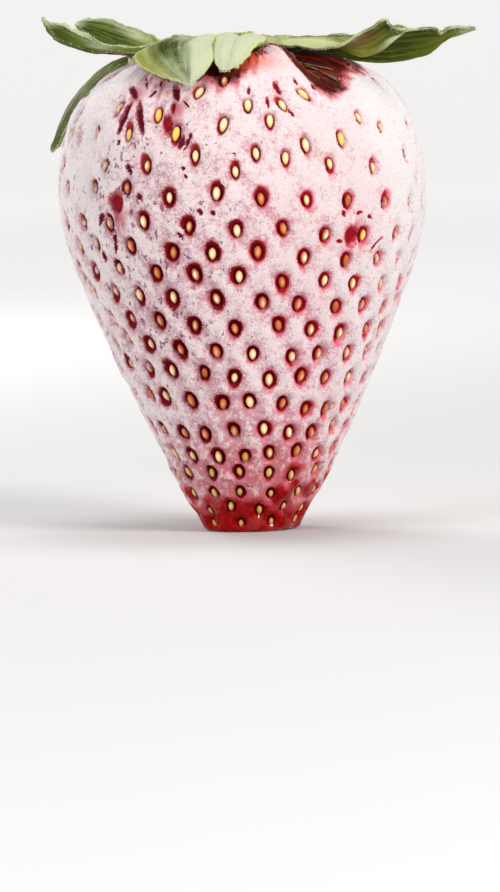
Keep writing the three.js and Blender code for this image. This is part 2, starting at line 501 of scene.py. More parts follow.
marks = [  # turn, arc, half width, half length, lean, depth: places where the frost is open
    (-43.4, 47, 0.4, 1.5, 46, 0.35), (-42.6, 44.1, 0.42, 2.1, -8, 0.35), (-42.6, 41.6, 0.3, 0.3, 7, 0.18),
    (-35.6, 44, 0.42, 2.2, 23, 0.38), (-38.9, 48, 0.14, 1, 32, 0.14), (-33.5, 46.7, 0.2, 0.57, -28, 0.15),
    (-32.1, 47.9, 0.14, 0.56, 10, 0.12), (-24, 46.7, 0.42, 1.2, 16, 0.28), (-23.9, 44.9, 0.36, 0.9, 3, 0.2),
    (-24.9, 43.4, 0.6, 1.35, 14, 0.3), (-19.8, 41.5, 0.42, 0.75, -7, 0.25),
    (-17.6, 41.5, 0.2, 1.08, -23, 0.18), (-19.2, 45.4, 0.12, 0.7, 44, 0.12),
    (-37.4, 39, 0.34, 0.7, 32, 0.28), (-38.1, 39.7, 0.14, 0.42, 90, 0.12), (-18.5, 39, 0.2, 0.25, 0, 0.15),
    (-17.6, 38.2, 0.15, 0.28, 25, 0.12), (-6.5, 37.2, 0.15, 0.51, 38, 0.15),
    (-2.8, 40.2, 0.2, 0.25, 0, 0.15), (2.5, 46.9, 0.2, 0.76, -10, 0.25), (13.2, 47.1, 0.32, 1, 14, 0.38),
    (16.4, 44.2, 0.24, 0.6, 29, 0.28), (8.8, 45.3, 0.2, 0.7, 0, 0.2), (21.2, 47.9, 0.2, 0.52, 16, 0.22),
    (28.1, 47.5, 0.24, 0.5, 4, 0.22), (-42.6, 35.7, 0.98, 1.05, 0, 0.34), (-33.2, 36.3, 0.3, 0.46, 46, 0.2),
    (-50.2, 34.2, 0.26, 0.7, -30, 0.2), (-45.2, 31.9, 0.26, 1.35, -10, 0.22),
    (-52.4, 30.5, 0.36, 0.55, 4, 0.2), (-13.4, 34.8, 0.26, 0.34, 33, 0.18),
    (-9.4, 34.7, 0.2, 0.26, 44, 0.15), (-20.2, 32.5, 0.2, 0.48, 21, 0.15), (36.2, 32, 1, 1.15, -6, 0.38),
    (32.4, 34.3, 0.28, 0.32, 0, 0.18), (38.5, 34.3, 0.2, 0.42, 102, 0.18), (42.9, 33.8, 0.2, 0.36, 60, 0.15),
    (31.4, 31.6, 0.22, 0.42, 76, 0.18), (47.4, 31.2, 0.18, 0.95, -46, 0.18)]
farMarks = {"count": 26, "turn": (75, 285), "arc": (20, 47), "width": (0.18, 0.5), "length": (0.35, 1.3),
            "lean": (-35, 35), "depth": 0.2}


def placePits():
    # rows of turn, arc, half width, half length, tilt, depth, tone, gold; the seeds' rows come first
    rows = []
    for arc, count, first in pits["rings"]:
        drift = pits["drift"] * smoothstep(pits["driftLow"], pits["driftHigh"], arc)
        small = shrink(pits["tipSize"], smoothstep(pits["tipFrom"], pits["tipTo"], arc))
        narrow = shrink(pits["narrow"], smoothstep(pits["narrowFrom"], pits["narrowTo"], arc))
        for i in range(count):
            turn = wrapped(first + 360 * i / count)
            turn += random.uniform(-1, 1) * pits["turnJitter"]
            place = arc - drift * math.sin(math.radians(turn))
            place += random.uniform(-1, 1) * pits["arcJitter"]
            size = random.uniform(*pits["sizes"]) * small
            tilt = random.uniform(-1, 1) * pits["tiltJitter"]
            depth, tone = pits["depth"] * random.uniform(*pits["depths"]), random.random()
            if arc > pits["upperFrom"] and abs(turn) < pits["upperTurn"]:
                continue
            rows.append((turn, place, pits["halfWidth"] * size * narrow, pits["halfLength"] * size,
                         tilt, depth, tone, 0))
    for turn, arc, tilt, tone, gold, size in upperSeeds:
        rows.append((turn, arc, pits["upperWidth"] * size, pits["upperLength"] * size, tilt,
                     pits["depth"] * size, tone, gold))
    seedCount = len(rows)
    for row in marks:
        rows.append((*row, 0, 0))
    for i in range(farMarks["count"]):
        turn, arc, width, length, lean = (random.uniform(*farMarks[key])
                                          for key in ("turn", "arc", "width", "length", "lean"))
        rows.append((wrapped(turn), arc, width, length, lean, farMarks["depth"], 0, 0))
    return np.array(rows), seedCount


def localPlace(turn, arc, radius, row):
    # where skin places lie in a pit's own frame, in its half sizes: across, and up along it
    across, up = gapFrom(row[0], row[1], turn, arc, radius)
    c, s = np.cos(np.radians(row[4])), np.sin(np.radians(row[4]))
    x, y = (c * across + s * up) / row[2], (-s * across + c * up) / row[3]
    return x / (1 + pits["egg"] * np.clip(y, -1, 1)), y     # wider above than below


pitRows, seedCount = placePits()


def nearestPit(turn, arc, radius):
    # for each place, the pit that it is nearest to, measured in that pit's own half sizes
    nearest = np.zeros(len(turn), int)
    reach = np.full(len(turn), 9.0)
    for i, row in enumerate(pitRows):
        close = np.flatnonzero(np.abs(arc - row[1]) < pits["reach"])
        share = np.hypot(*localPlace(turn[close], arc[close], radius[close], row))
        better = share < reach[close]
        reach[close[better]] = share[better]
        nearest[close[better]] = i
    return nearest, reach


quilt = {"slant": -36, "halfWidth": 1.0, "halfLength": 2.1, "depthLow": 0.24, "depthHigh": 0.07,
         "from": 22, "to": 34}
pillow = {"depth": 0.20, "width": 0.60, "topShare": 0.45}


def quiltAt(turn, arc, radius):
    # 0 to 1, how deep a place lies in the slanting valleys that join the pits
    valley = np.zeros(len(turn))
    c, s = math.cos(math.radians(quilt["slant"])), math.sin(math.radians(quilt["slant"]))
    for row in pitRows[:seedCount]:
        close = np.flatnonzero(np.abs(arc - row[1]) < pits["reach"])
        across, up = gapFrom(row[0], row[1], turn[close], arc[close], radius[close])
        x, y = c * across - s * up, s * across + c * up
        depth = np.exp(-(x / quilt["halfWidth"]) ** 2 - (y / quilt["halfLength"]) ** 2)
        valley[close] = np.maximum(valley[close], depth)
    return valley


# where the frost is thick, thin, rubbed away or thawed

thaw = {"height": 1.7, "rise": 0.35, "riseTurn": -42, "riseWidth": 24, "below": 0.6, "blur": 2.6,
        "wobbles": [(0.7, 3.0, 1), (0.4, 1.1, 2)], "spotWobble": [(0.35, 1.0, 9)],
        "thinLow": 3.5, "thinHigh": 15, "thinTurn": 10, "thinLeast": 0.35,
        "spots": [  # turn, arc, size
            (32, 7.1, 1.15), (36, 5.6, 0.9), (24, 4.4, 1.2), (56, 5.0, 0.9), (-40, 3.6, 0.9),
            (-66, 4.6, 1.0), (96, 6.4, 1.8), (140, 5.8, 1.5), (-150, 6.6, 1.7), (-104, 5.6, 1.4)],
        "reddened": [(-24.3, 43.3, 1.5), (-42.6, 35.7, 1.4)],
        "worn": [(-36, 49.6, 2.6), (-29, 48.0, 2.4), (-24, 45.0, 1.8), (-22.5, 43.0, 1.3),
                 (-42, 46.5, 1.3), (-16, 49.5, 2.0), (-43, 34.5, 1.5), (38, 32, 1.4),
                 (130, 47, 2.4), (-140, 46, 2.6)]}
lane = {"width": 0.42, "length": 2.6, "round": 14}     # grains of the streaks that run up the side
crustDepths = {"crust": [(0.040, 1.3, 5), (0.040, 0.55, 6)], "swell": [(0.10, 5, 7)],
               "patchy": [(0.25, 4, 12)], "sparkleReach": 1.12, "sparkleFrom": 9, "sparkleTo": 17}
collar = [  # turn and the arc above which the flesh is bare, round the berry
    (-180, 54), (-140, 53), (-90, 54), (-62, 53.5), (-46, 51.5), (-34, 50.2), (-24, 49.7), (-13, 49.2),
    (-8, 48.4), (-2, 48.7), (2, 49.7), (6, 51.1), (10, 52.9), (14, 54.6), (20, 56.5), (24, 55), (26, 50.8),
    (27.5, 48.5), (29.5, 47.6), (32, 47.1), (34, 46.6), (36, 46.9), (38, 47.6), (41, 48.2), (44, 48.6),
    (50, 49.3), (57, 49.9), (66, 50.6), (75, 52), (90, 53), (120, 53), (180, 54)]
collarEdge = {"blur": 2.1, "streaks": 1.7, "grains": [(0.8, 2.2, 3), (0.8, 0.9, 4)],
              "even": [(46, 19, 0.65), (1, 13, 0.5)]}     # turn, width and how far it runs evenly
speckles = [(-38, 36, 24, 8), (-30, 24, 20, 9), (100, 33, 30, 9), (-130, 38, 30, 7),
            (170, 24, 26, 9)]       # turn, height, width, length of the patches with dark smudges
glow = {"turn": 7, "width": 11, "from": 48.9, "to": 51.4}     # where light comes through the flesh
# the two sides are made whiter, partly with thicker frost and partly with painted sheen; their seeds are made
# smaller and deeper, and are painted darker as if in shade
hoar = {"middle": 2, "from": 34, "to": 60, "backFrom": 110, "backTo": 150, "back": 0.45,
        "tipFrom": 4, "tipTo": 12, "low": 0.62, "lowFrom": 20, "lowTo": 36,
        "thick": 0.26, "ring": 0.26, "seedSize": 0.84, "seedDeeper": 0.08}


def sideFrostSheenAt(turn, arc):
    # 0 to 1, how much whiter the two sides are made, above the tip: partly thicker frost, partly a painted
    # sheen where the skin turns away from the front
    aside = np.abs(wrapped(turn - hoar["middle"]))
    share = smoothstep(hoar["from"], hoar["to"], aside)
    share = share * shrink(hoar["back"], smoothstep(hoar["backFrom"], hoar["backTo"], aside))
    return share * smoothstep(hoar["tipFrom"], hoar["tipTo"], arc) * (
        hoar["low"] + (1 - hoar["low"]) * smoothstep(hoar["lowFrom"], hoar["lowTo"], arc))


def patchesAt(patches, power, turn, arc, radius):
    # 0 to 1, how far a place lies inside round patches, each with its turn, arc and size
    inside = np.zeros(np.shape(turn))
    for place, height, size in patches:
        gap = np.hypot(*gapFrom(place, height, turn, arc, radius))
        inside = np.maximum(inside, bell(gap, size, power))
    return inside


def speckledAt(turn, height):
    speckled = np.zeros(len(turn))
    for place, middle, wide, tall in speckles:
        gap = (wrapped(turn - place) / wide) ** 2
        speckled = np.maximum(speckled, np.exp(-gap - ((height - middle) / tall) ** 2))
    return speckled


def thawedAt(turn, arc, radius, points, height):
    # 0 to 1, how far the frost has melted: all of it below a wavy line, and in spots above it
    line = thaw["height"] + thaw["rise"] * bell(wrapped(turn - thaw["riseTurn"]), thaw["riseWidth"])
    line = grains(points * mm, thaw["wobbles"], line)
    thawed = 1 - smoothstep(line - thaw["below"], line + thaw["blur"], height)
    for place, middle, size in thaw["spots"]:
        gap = np.hypot(*gapFrom(place, middle, turn, arc, radius)) / size
        gap = grains(points * mm, thaw["spotWobble"], gap)
        thawed = np.maximum(thawed, bell(np.clip(gap, 0, 9), 1, 3))
    return thawed


def bareAt(turn, arc, points, streaks):
    # 0 to 1, how far a place lies above the collar, where the frost ends
    edge = np.interp(turn, [t for t, a in collar], [a for t, a in collar])
    uneven = 1
    for place, wide, share in collarEdge["even"]:
        uneven = uneven - share * bell(turn - place, wide, 4)
    edge = edge + uneven * (grains(points * mm, collarEdge["grains"]) + collarEdge["streaks"] * streaks)
    return smoothstep(edge - collarEdge["blur"], edge + collarEdge["blur"], arc)


def wrapSheet(berry):
    # a flat sheet goes round the berry, with its seam and both poles closed
    rings = skin["rings"]
    sheet = readPoints(berry)
    flat, top = outline[0, 0], outline[-1, 0]
    turn = sheet[:, 0] * 180
    arc = np.interp((sheet[:, 1] + 1) / 2 * rings,
                    [0, skin["ringsFlat"], rings - skin["ringsTop"], rings],
                    [-flat, 0, sideArc, sideArc + top])
    pointValue(berry, "turn", turn)
    pointValue(berry, "arc", arc)
    writePoints(berry, skinPoint(turn, arc) * mm)
    faceOutwards(merge=0.002 * mm)
    turn, arc = takeValue(berry, "turn"), takeValue(berry, "arc")
    radius = np.maximum(np.interp(arc, outlineArc, outline[:, 0]), 0.3)

    # vertices gather at the rims of the pits, so that the walls are steep
    nearest, reach = nearestPit(turn, arc, radius)
    pull = pits["gather"] * bell(reach - pits["rim"], pits["rimWidth"]) * (nearest < seedCount)
    share = 1 - pull * (reach - pits["rim"]) / np.maximum(reach, 0.05)
    for i, row in enumerate(pitRows[:seedCount]):
        mine = np.flatnonzero((nearest == i) & (pull > 0.01) & (arc > 0.2) & (arc < sideArc))
        across, up = gapFrom(row[0], row[1], turn[mine], arc[mine], radius[mine])
        turn[mine] = wrapped(row[0] + np.degrees(across * share[mine] / radius[mine]))
        arc[mine] = row[1] + up * share[mine]
    return turn, arc, radius


def makeBerry():
    deselectAll()
    bpy.ops.mesh.primitive_grid_add(x_subdivisions=skin["sectors"], y_subdivisions=skin["rings"], size=2)
    berry = newPiece("berryFlesh")
    turn, arc, radius = wrapSheet(berry)
    nearest, reach = nearestPit(turn, arc, radius)
    points = skinPoint(turn, arc)
    height = points[:, 2].copy()
    writePoints(berry, points * mm)
    normals = readNormals(berry)

    # noise in a frame that runs up the side, for streaks
    lanes = np.stack([np.radians(turn) * lane["round"] / lane["width"], arc / lane["length"], 0 * arc],
                     axis=1)
    streaks = grain(lanes * mm, 1.0, 8)
    worn = patchesAt(thaw["worn"], 2, turn, arc, radius) * smoothstep(-0.25, 0.55, streaks + 0.15)
    thawed = thawedAt(turn, arc, radius, points, height)
    bare = bareAt(turn, arc, points, streaks)
    frosted = (1 - thawed) * (1 - bare)

    # pits, valleys between them, and the crust of the frost
    onSide = smoothstep(*skin["sideFrom"], arc) * smoothstep(
        *(sideArc - end for end in skin["sideTo"]), arc)
    upward = smoothstep(quilt["from"], quilt["to"], height)
    valley = quiltAt(turn, arc, radius)
    valleyDepth = quilt["depthLow"] + (quilt["depthHigh"] - quilt["depthLow"]) * upward
    dimple = bell(np.maximum(reach - 1, 0), pillow["width"]) * (nearest < seedCount)
    dimple *= shrink(pillow["topShare"], upward)
    wall = 1 - smoothstep(pits["wallFoot"], pits["wallTop"], reach)
    lip = pits["lip"] * bell(reach - pits["lipAt"], pits["lipWidth"])
    crust = grains(points * mm, crustDepths["crust"]) * frosted
    move = (-pitRows[nearest, 5] * wall + (lip * frosted + crust) * (1 - wall)
            - valleyDepth * valley - pillow["depth"] * dimple
            + grains(points * mm, crustDepths["swell"])) * onSide
    points = points + normals * move[:, None]
    points[:, 2] = np.maximum(points[:, 2], 0)
    writePoints(berry, points * mm)

    # what the material reads at each point
    aroundThin = 0.5 + 0.5 * np.cos(2 * np.radians(turn - thaw["thinTurn"]))
    thin = 1 - smoothstep(thaw["thinLow"], thaw["thinHigh"], height)
    patchy = grains(points * mm, crustDepths["patchy"]) * (np.abs(turn) > 30)
    sparkling = smoothstep(crustDepths["sparkleFrom"], crustDepths["sparkleTo"], height)
    light = bell(wrapped(turn - glow["turn"]), glow["width"])
    for name, values in {
            "thawed": thawed, "bare": bare, "worn": worn, "streaks": streaks,
            "valley": np.maximum(valley, dimple), "streak": nearest >= seedCount,
            "thin": thin * (thaw["thinLeast"] + (1 - thaw["thinLeast"]) * aroundThin),
            "glow": light * smoothstep(glow["from"], glow["to"], arc),
            "speckled": speckledAt(turn, height),
            "hoar": np.clip(sideFrostSheenAt(turn, arc) + patchy, 0, 1),
            "crusted": frosted * (reach > crustDepths["sparkleReach"]) * (worn < 0.5) * sparkling,
            "reddened": patchesAt(thaw["reddened"], 4, turn, arc, radius)}.items():
        pointValue(berry, name, values)
    mapPits(berry, turn, arc, radius, nearest)
    bpy.ops.object.shade_smooth()
    berry.data.materials.append(frostedMaterial())
    return finishPiece(berry, ["berry"])


def mapPits(berry, turn, arc, radius, nearest):
    # each face reads its place in one pit's own frame, so the rings round the pits are true
    corner = readAll(berry.data.loops, "vertex_index", int)
    start, count = (readAll(berry.data.polygons, key, int) for key in ("loop_start", "loop_total"))
    pitOf = np.repeat(nearest[corner[start]], count)
    x, y = localPlace(turn[corner], arc[corner], radius[corner], pitRows[pitOf].T)
    # the frost has grown further into some pits, and further from one side than the other
    chance = np.random.default_rng(11)
    ownSeed = np.arange(len(pitRows)) < seedCount
    grown = np.where(ownSeed, chance.uniform(*pits["grown"], len(pitRows)), 1)[pitOf]
    aside = np.where(ownSeed, chance.normal(0, pits["aside"], (2, len(pitRows))), 0)[:, pitOf]
    writeMap(berry, "pitMap", x * grown + aside[0], y * grown + aside[1])


# left and right, lilac and rose, and the ring, halo and side pairs are shaded and lit copies of one colour:
# painted shade on the left, painted light on the right
frost = {"left": (0.735, 0.605, 0.605), "right": (0.690, 0.570, 0.575),
         "sideFrostSheenLeft": (0.69, 0.61, 0.605), "sideFrostSheenRight": (0.675, 0.632, 0.637),
         "lilac": (0.475, 0.275, 0.305), "rose": (0.585, 0.235, 0.285),
         "blush": (0.50, 0.145, 0.165), "flush": (0.60, 0.10, 0.13), "worn": (0.40, 0.045, 0.085),
         "melting": (0.46, 0.055, 0.065), "glow": (0.78, 0.13, 0.055), "smudge": (0.13, 0.026, 0.048),
         "ringShaded": (0.17, 0.0030, 0.0060), "ringLit": (0.42, 0.010, 0.018),
         "ringUpper": (0.40, 0.035, 0.040), "haloShaded": (0.46, 0.14, 0.17),
         "haloLit": (0.70, 0.13, 0.18), "red": (0.36, 0.0012, 0.002),
         # deep and deepStreak are painted shade: the near black-red of the bare flesh under the leaves, and
         # its lighter streaks
         "deepRed": (0.19, 0.0008, 0.0015), "deep": (0.036, 0.0018, 0.0010),
         "deepStreak": (0.125, 0.0070, 0.0018), "mark": (0.105, 0.0018, 0.012),
         "markRed": (0.22, 0.0016, 0.006),
         "paintedLitSide": (-9, 11), "upper": (31, 39),     # across from the shaded side to the lit side, for the painted light and shade, and up
         "grains": [(0.25, 2, 0.6), (0.60, 3, 0.6), (1.5, 2, 0.5), (5.0, 2, 0.55)],
         "rough": 0.72, "bareRough": 0.46, "wetter": 0.26, "coatRough": 0.05, "specular": 0.07,
         "subsurface": 0.20, "subsurfaceRadius": (1.0, 0.30, 0.25), "subsurfaceScale": 0.6,
         "bump": 0.16, "bumpStrength": 0.8}


def frostedMaterial():
    material, tree = newMaterial("frostedFlesh")
    pit, place = split(mapOf(tree, "pitMap")), split(placeOf(tree))
    reach = distance(pit["X"], pit["Y"])
    thawed, bare, valley, thin, streak, worn, streaks, glowing, speckled, sideFrostSheenShare, reddened = valuesOf(
        tree, "thawed bare valley thin streak worn streaks glow speckled hoar reddened")
    # painted light and shade: 0 on the shaded left of the berry, 1 on the lit right
    paintedLitSide = ramp(place["X"], *(end * mm for end in frost["paintedLitSide"]))
    upper = ramp(place["Z"], *(end * mm for end in frost["upper"]))
    fine, patch, lump, broad = (noiseOf(tree, *grains) for grains in frost["grains"])

    # how thick the frost lies: soft patches, thin in the valleys and towards the tip. The thinning in the
    # valleys also paints shade into the dimples round the pits.
    thick = plus(offset(fine, 0.5, 1.0), offset(patch, 0.5, 1.35), offset(lump, 0.5, 0.7),
                 offset(broad, 0.5, 0.6), times(streaks, 0.05), times(valley, -0.36),
                 times(upper, 0.10), times(thin, -0.28), times(thin, offset(patch, 0.5, 1.1)),
                 times(sideFrostSheenShare, hoar["thick"]), offset(paintedLitSide, 0.45, 0.20))
    # painted light and shade: the frost is whiter and thicker on the lit side and greyer on the shaded side,
    # and its thin tone is rose on the lit side and lilac on the shaded side
    white = mixColour(paintedLitSide, frost["left"], frost["right"])
    white = mixColour(sideFrostSheenShare, white, mixColour(paintedLitSide, frost["sideFrostSheenLeft"], frost["sideFrostSheenRight"]))
    shade = mixColour(paintedLitSide, frost["lilac"], frost["rose"])
    shade = mixColour(ramp(thin, 0.1, 0.9), shade, frost["blush"])
    cold = mixColour(ramp(thick, -0.54, 0.10), shade, white)
    flushed = ramp(plus(paintedLitSide, offset(lump, 0.5, 2.0)), 0.1, 0.9, 0.15, 0.70)
    # small dark smudges, mostly on the shaded side
    blot = plus(noiseOf(tree, 0.50, 1, 0.4, stretch=(1, 1, 0.7)), times(speckled, 0.115),
                times(upper, -0.05))
    smudge = times(ramp(blot, 0.69, 0.77), ramp(paintedLitSide, 0.2, 0.9, 0.75, 0.25))
    for share, tone in ((times(ramp(thin, 0.35, 1.0), flushed), "blush"), (smudge, "smudge"),
                        (times(worn, 0.92), "worn"), (times(glowing, 0.75), "glow"),
                        (ramp(plus(bare, offset(patch, 0.5, 0.5)), 0.02, 0.50, 0.0, 0.8), "flush"),
                        (ramp(thawed, 0.05, 0.55), "melting")):
        cold = mixColour(share, cold, frost[tone])

    # rings round the seeds: thick and dark in the middle, thin where the frost has grown inwards
    ragged = plus(0.50, times(streak, 0.45))
    ring = plus(reach, times(minus(patch, 0.5), ragged), offset(lump, 0.5, 0.55), times(upper, 0.15),
                times(streak, offset(fine, 0.5, 0.55)), times(paintedLitSide, 0.15),
                times(sideFrostSheenShare, minus(hoar["ring"], times(streak, hoar["ring"]))))
    # painted light: the pink halo round each pit stands in for light scattered through the frost from the red
    # flesh, and it is wider and redder on the lit side
    halo = ramp(ring, 1.00, plus(1.32, times(paintedLitSide, 0.12)))
    cold = mixColour(halo, mixColour(paintedLitSide, frost["haloShaded"], frost["haloLit"]), cold)
    # painted light and shade: the pit walls are dark crimson on the shaded side and bright red on the lit
    # side, where light comes through the flesh
    pitTone = mixColour(ramp(plus(paintedLitSide, times(upper, 0.3)), 0.3, 1.0), frost["ringShaded"],
                        frost["ringLit"])
    pitTone = mixColour(times(upper, 0.60), pitTone, frost["ringUpper"])
    markTone = mixColour(ramp(plus(lump, offset(paintedLitSide, 0.3, 0.5), times(reddened, 0.4)), 0.50, 0.66),
                         frost["mark"], frost["markRed"])
    pitTone = mixColour(times(streak, 0.92), pitTone, markTone)
    red = mixColour(ramp(patch, 0.36, 0.64), frost["red"], frost["deepRed"])
    flesh = mixColour(ramp(thawed, 0.3, 0.8), pitTone, red)
    # painted shade: the bare flesh under the leaves is painted near black-red, as if in their shadow, with
    # lighter red streaks
    bareShade = mixColour(ramp(plus(streaks, offset(fine, 0.5, 0.8)), -0.5, 0.8), frost["deep"],
                      frost["deepStreak"])
    flesh = mixColour(ramp(bare, 0.25, 0.70), flesh, bareShade)
    # painted light: an orange glow where light comes through the flesh below the front leaves
    flesh = mixColour(times(glowing, 0.8), flesh, frost["glow"])

    # where frost covers the flesh
    frayed = plus(offset(patch, 0.5, 0.9), times(streaks, 0.20))
    bared = ramp(plus(bare, frayed), 0.22, 0.82)
    outside = ramp(ring, minus(0.90, times(streak, 0.22)), plus(1.05, times(streak, 0.12)))
    melt = ramp(plus(thawed, offset(patch, 0.5, 0.6)), 0.35, 0.85, 1.0, 0.0)
    cover = times(outside, times(melt, calculate("SUBTRACT", 1.0, bared, clamp=True)))
    wet = ramp(thawed, 0.3, 0.9)
    glint = ramp(noiseOf(tree, 1.5, 1), 0.54, 0.62, 0.07, 0.95)
    film = times(noiseOf(tree, 1.1, 1, 0.4), times(wet, 2.4))
    height = plus(times(plus(fine, patch), cover), film, times(bare, plus(times(streaks, 0.9), patch)))
    return dress(material, {
        "Base Color": mixColour(cover, flesh, cold),
        "Roughness": minus(ramp(cover, 0, 1, frost["bareRough"], frost["rough"]),
                           times(wet, frost["wetter"])),
        "Coat Weight": times(wet, glint), "Coat Roughness": frost["coatRough"],
        "Specular IOR Level": frost["specular"], "Subsurface Weight": frost["subsurface"],
        "Subsurface Radius": frost["subsurfaceRadius"],
        "Subsurface Scale": frost["subsurfaceScale"] * mm,
        "Normal": bumpOf(height, frost["bump"], frost["bumpStrength"])})


# the seeds in their pits

seed = {"halfWidth": 0.385, "halfLength": 0.60, "halfThickness": 0.33,
        "taperBelow": 0.16, "taperAbove": 0.05, "point": 0.06, "paleMiddleWidth": 0.20, "paleMiddleLength": 0.42,
        "growFrom": 32, "growTo": 40, "grow": 1.42, "growLong": 1.12, "sizes": (0.92, 1.06),
        "turns": (-7, 7), "leans": (-9, 9), "lifts": (-0.05, 0.05), "sunk": 0.30, "highSunk": 0.05,
        "cream": (0.98, 0.86, 0.64), "creamSide": (0.85, 0.54, 0.22),
        "salmon": (0.90, 0.36, 0.22), "ochre": (0.62, 0.33, 0.07), "brown": (0.46, 0.085, 0.030),
        "side": (0.50, 0.13, 0.030), "pitShade": (0.24, 0.012, 0.008), "gold": (0.90, 0.52, 0.05),
        "olive": (0.58, 0.42, 0.08), "rime": (0.72, 0.58, 0.56)}


def makeSeedShape():
    # an almond lying on its side, blunt at the top and pointed below
    deselectAll()
    bpy.ops.mesh.primitive_uv_sphere_add(segments=8, ring_count=7, radius=1)
    shape = newPiece("seedShape")
    ball = readPoints(shape)
    along = ball[:, 2].copy()
    below, above = np.clip(-along, 0, 1), np.clip(along, 0, 1)
    narrow = 1 - seed["taperBelow"] * below - seed["taperAbove"] * above
    points = np.stack([ball[:, 0] * narrow * seed["halfWidth"], along * seed["halfLength"],
                       ball[:, 1] * narrow * seed["halfThickness"]], axis=1)
    points[:, 1] -= seed["point"] * below ** 3
    writePoints(shape, points * mm)
    faceOutwards()
    pointValue(shape, "crest", np.clip(points[:, 2] / seed["halfThickness"], 0, 1))
    # a pale middle along the seed, fading out towards its sides and ends
    pointValue(shape, "icy", np.exp(-(points[:, 0] / seed["paleMiddleWidth"]) ** 2
                                    - (points[:, 1] / seed["paleMiddleLength"]) ** 2))
    for name in ("ripe", "tone", "gold", "hoar"):
        pointValue(shape, name, np.zeros(len(points)))
    bpy.ops.object.shade_smooth()
    return shape


def makeSeeds():
    shape = makeSeedShape()
    copies = []
    for turn, arc, wide, tall, tilt, depth, tone, gold in pitRows[:seedCount]:
        point, normal, up = skinFrame(turn, arc)
        size = wide / pits["halfWidth"] * random.uniform(*seed["sizes"])
        high = smoothstep(seed["growFrom"], seed["growTo"], point[2])
        sideFrostSheenShare = float(sideFrostSheenAt(turn, arc))
        size = size * (1 + (seed["grow"] - 1) * high) * shrink(hoar["seedSize"], sideFrostSheenShare)
        place = Matrix((np.cross(up, normal), up, normal)).transposed().to_4x4()
        place = place @ Matrix.Rotation(math.radians(tilt + random.uniform(*seed["turns"])), 4, "Z")
        place = place @ Matrix.Rotation(math.radians(random.uniform(*seed["leans"])), 4, "X")
        sunk = quilt["depthLow"] * (1 - smoothstep(quilt["from"], quilt["to"], point[2])) + seed["sunk"]
        sunk += seed["highSunk"] * high + hoar["seedDeeper"] * sideFrostSheenShare
        place.translation = Vector(point - normal * (sunk - random.uniform(*seed["lifts"]))) * mm
        made = copyOf(shape)
        made.data.transform(place @ Matrix.Diagonal(
            (size, size * (1 + (seed["growLong"] - 1) * high), size, 1)))
        golden = patchesAt(thaw["worn"], 2, turn, arc, math.hypot(point[0], point[1]))
        for name, value in (("tone", tone * (1 - 0.30 * high)), ("gold", max(golden, gold)),
                            ("ripe", 1 - smoothstep(5.0, 9.0, point[2])), ("hoar", sideFrostSheenShare)):
            made.data.attributes[name].data.foreach_set(
                "value", np.full(len(made.data.vertices), value, np.float32))
        copies.append(made)
    seeds = joinCopies(copies, shape, "seeds")
    seeds.data.materials.append(seedMaterial())
    return finishPiece(seeds)


def seedMaterial():
    # four kinds of seed: cream, salmon, ochre and brown, each with darker sides
    material, tree = newMaterial("seedHusk")
    tone, crest, icy, ripe, gold, sideFrostSheenShare = valuesOf(tree, "tone crest icy ripe gold hoar")
    middle = seed["cream"]
    for low, high, kind in ((0.50, 0.60, "salmon"), (0.70, 0.78, "ochre"), (0.87, 0.94, "brown")):
        middle = mixColour(ramp(tone, low, high), middle, seed[kind])
    side = mixColour(ramp(tone, 0.20, 0.58), seed["creamSide"], seed["side"])
    # the seed is paler along its middle than at its sides
    body = mixColour(ramp(icy, 0.25, 0.85), side, middle)
    body = mixColour(times(ramp(gold, 0.3, 0.7), 0.8), body, seed["gold"])
    body = mixColour(times(ripe, 0.75), body, seed["olive"])
    # painted shade: each seed's lower sides, sunk in its pit, are darkened to the pit's dark red, and the
    # seeds on the two sides of the berry are darker still
    body = mixColour(ramp(crest, 0.10, 0.62), seed["pitShade"], body)
    body = mixColour(times(sideFrostSheenShare, 0.5), body, seed["pitShade"])
    rime = times(sideFrostSheenShare, ramp(noiseOf(tree, 0.45, 2), 0.42, 0.62, 0.0, 0.8))
    return dress(material, {
        "Base Color": mixColour(rime, body, seed["rime"]),
        "Roughness": ramp(noiseOf(tree, 0.2), 0.3, 0.7, 0.30, 0.5), "Specular IOR Level": 0.3,
        "Subsurface Weight": 0.15, "Subsurface Scale": 0.4 * mm,
        "Normal": bumpOf(noiseOf(tree, 0.12), 0.03, 0.6)})


makeSeeds()
print("seeds placed")


# the leaves of the calyx: each is a sheet between two edges and a midrib
# left and right are as seen from the stem, looking out along the leaf

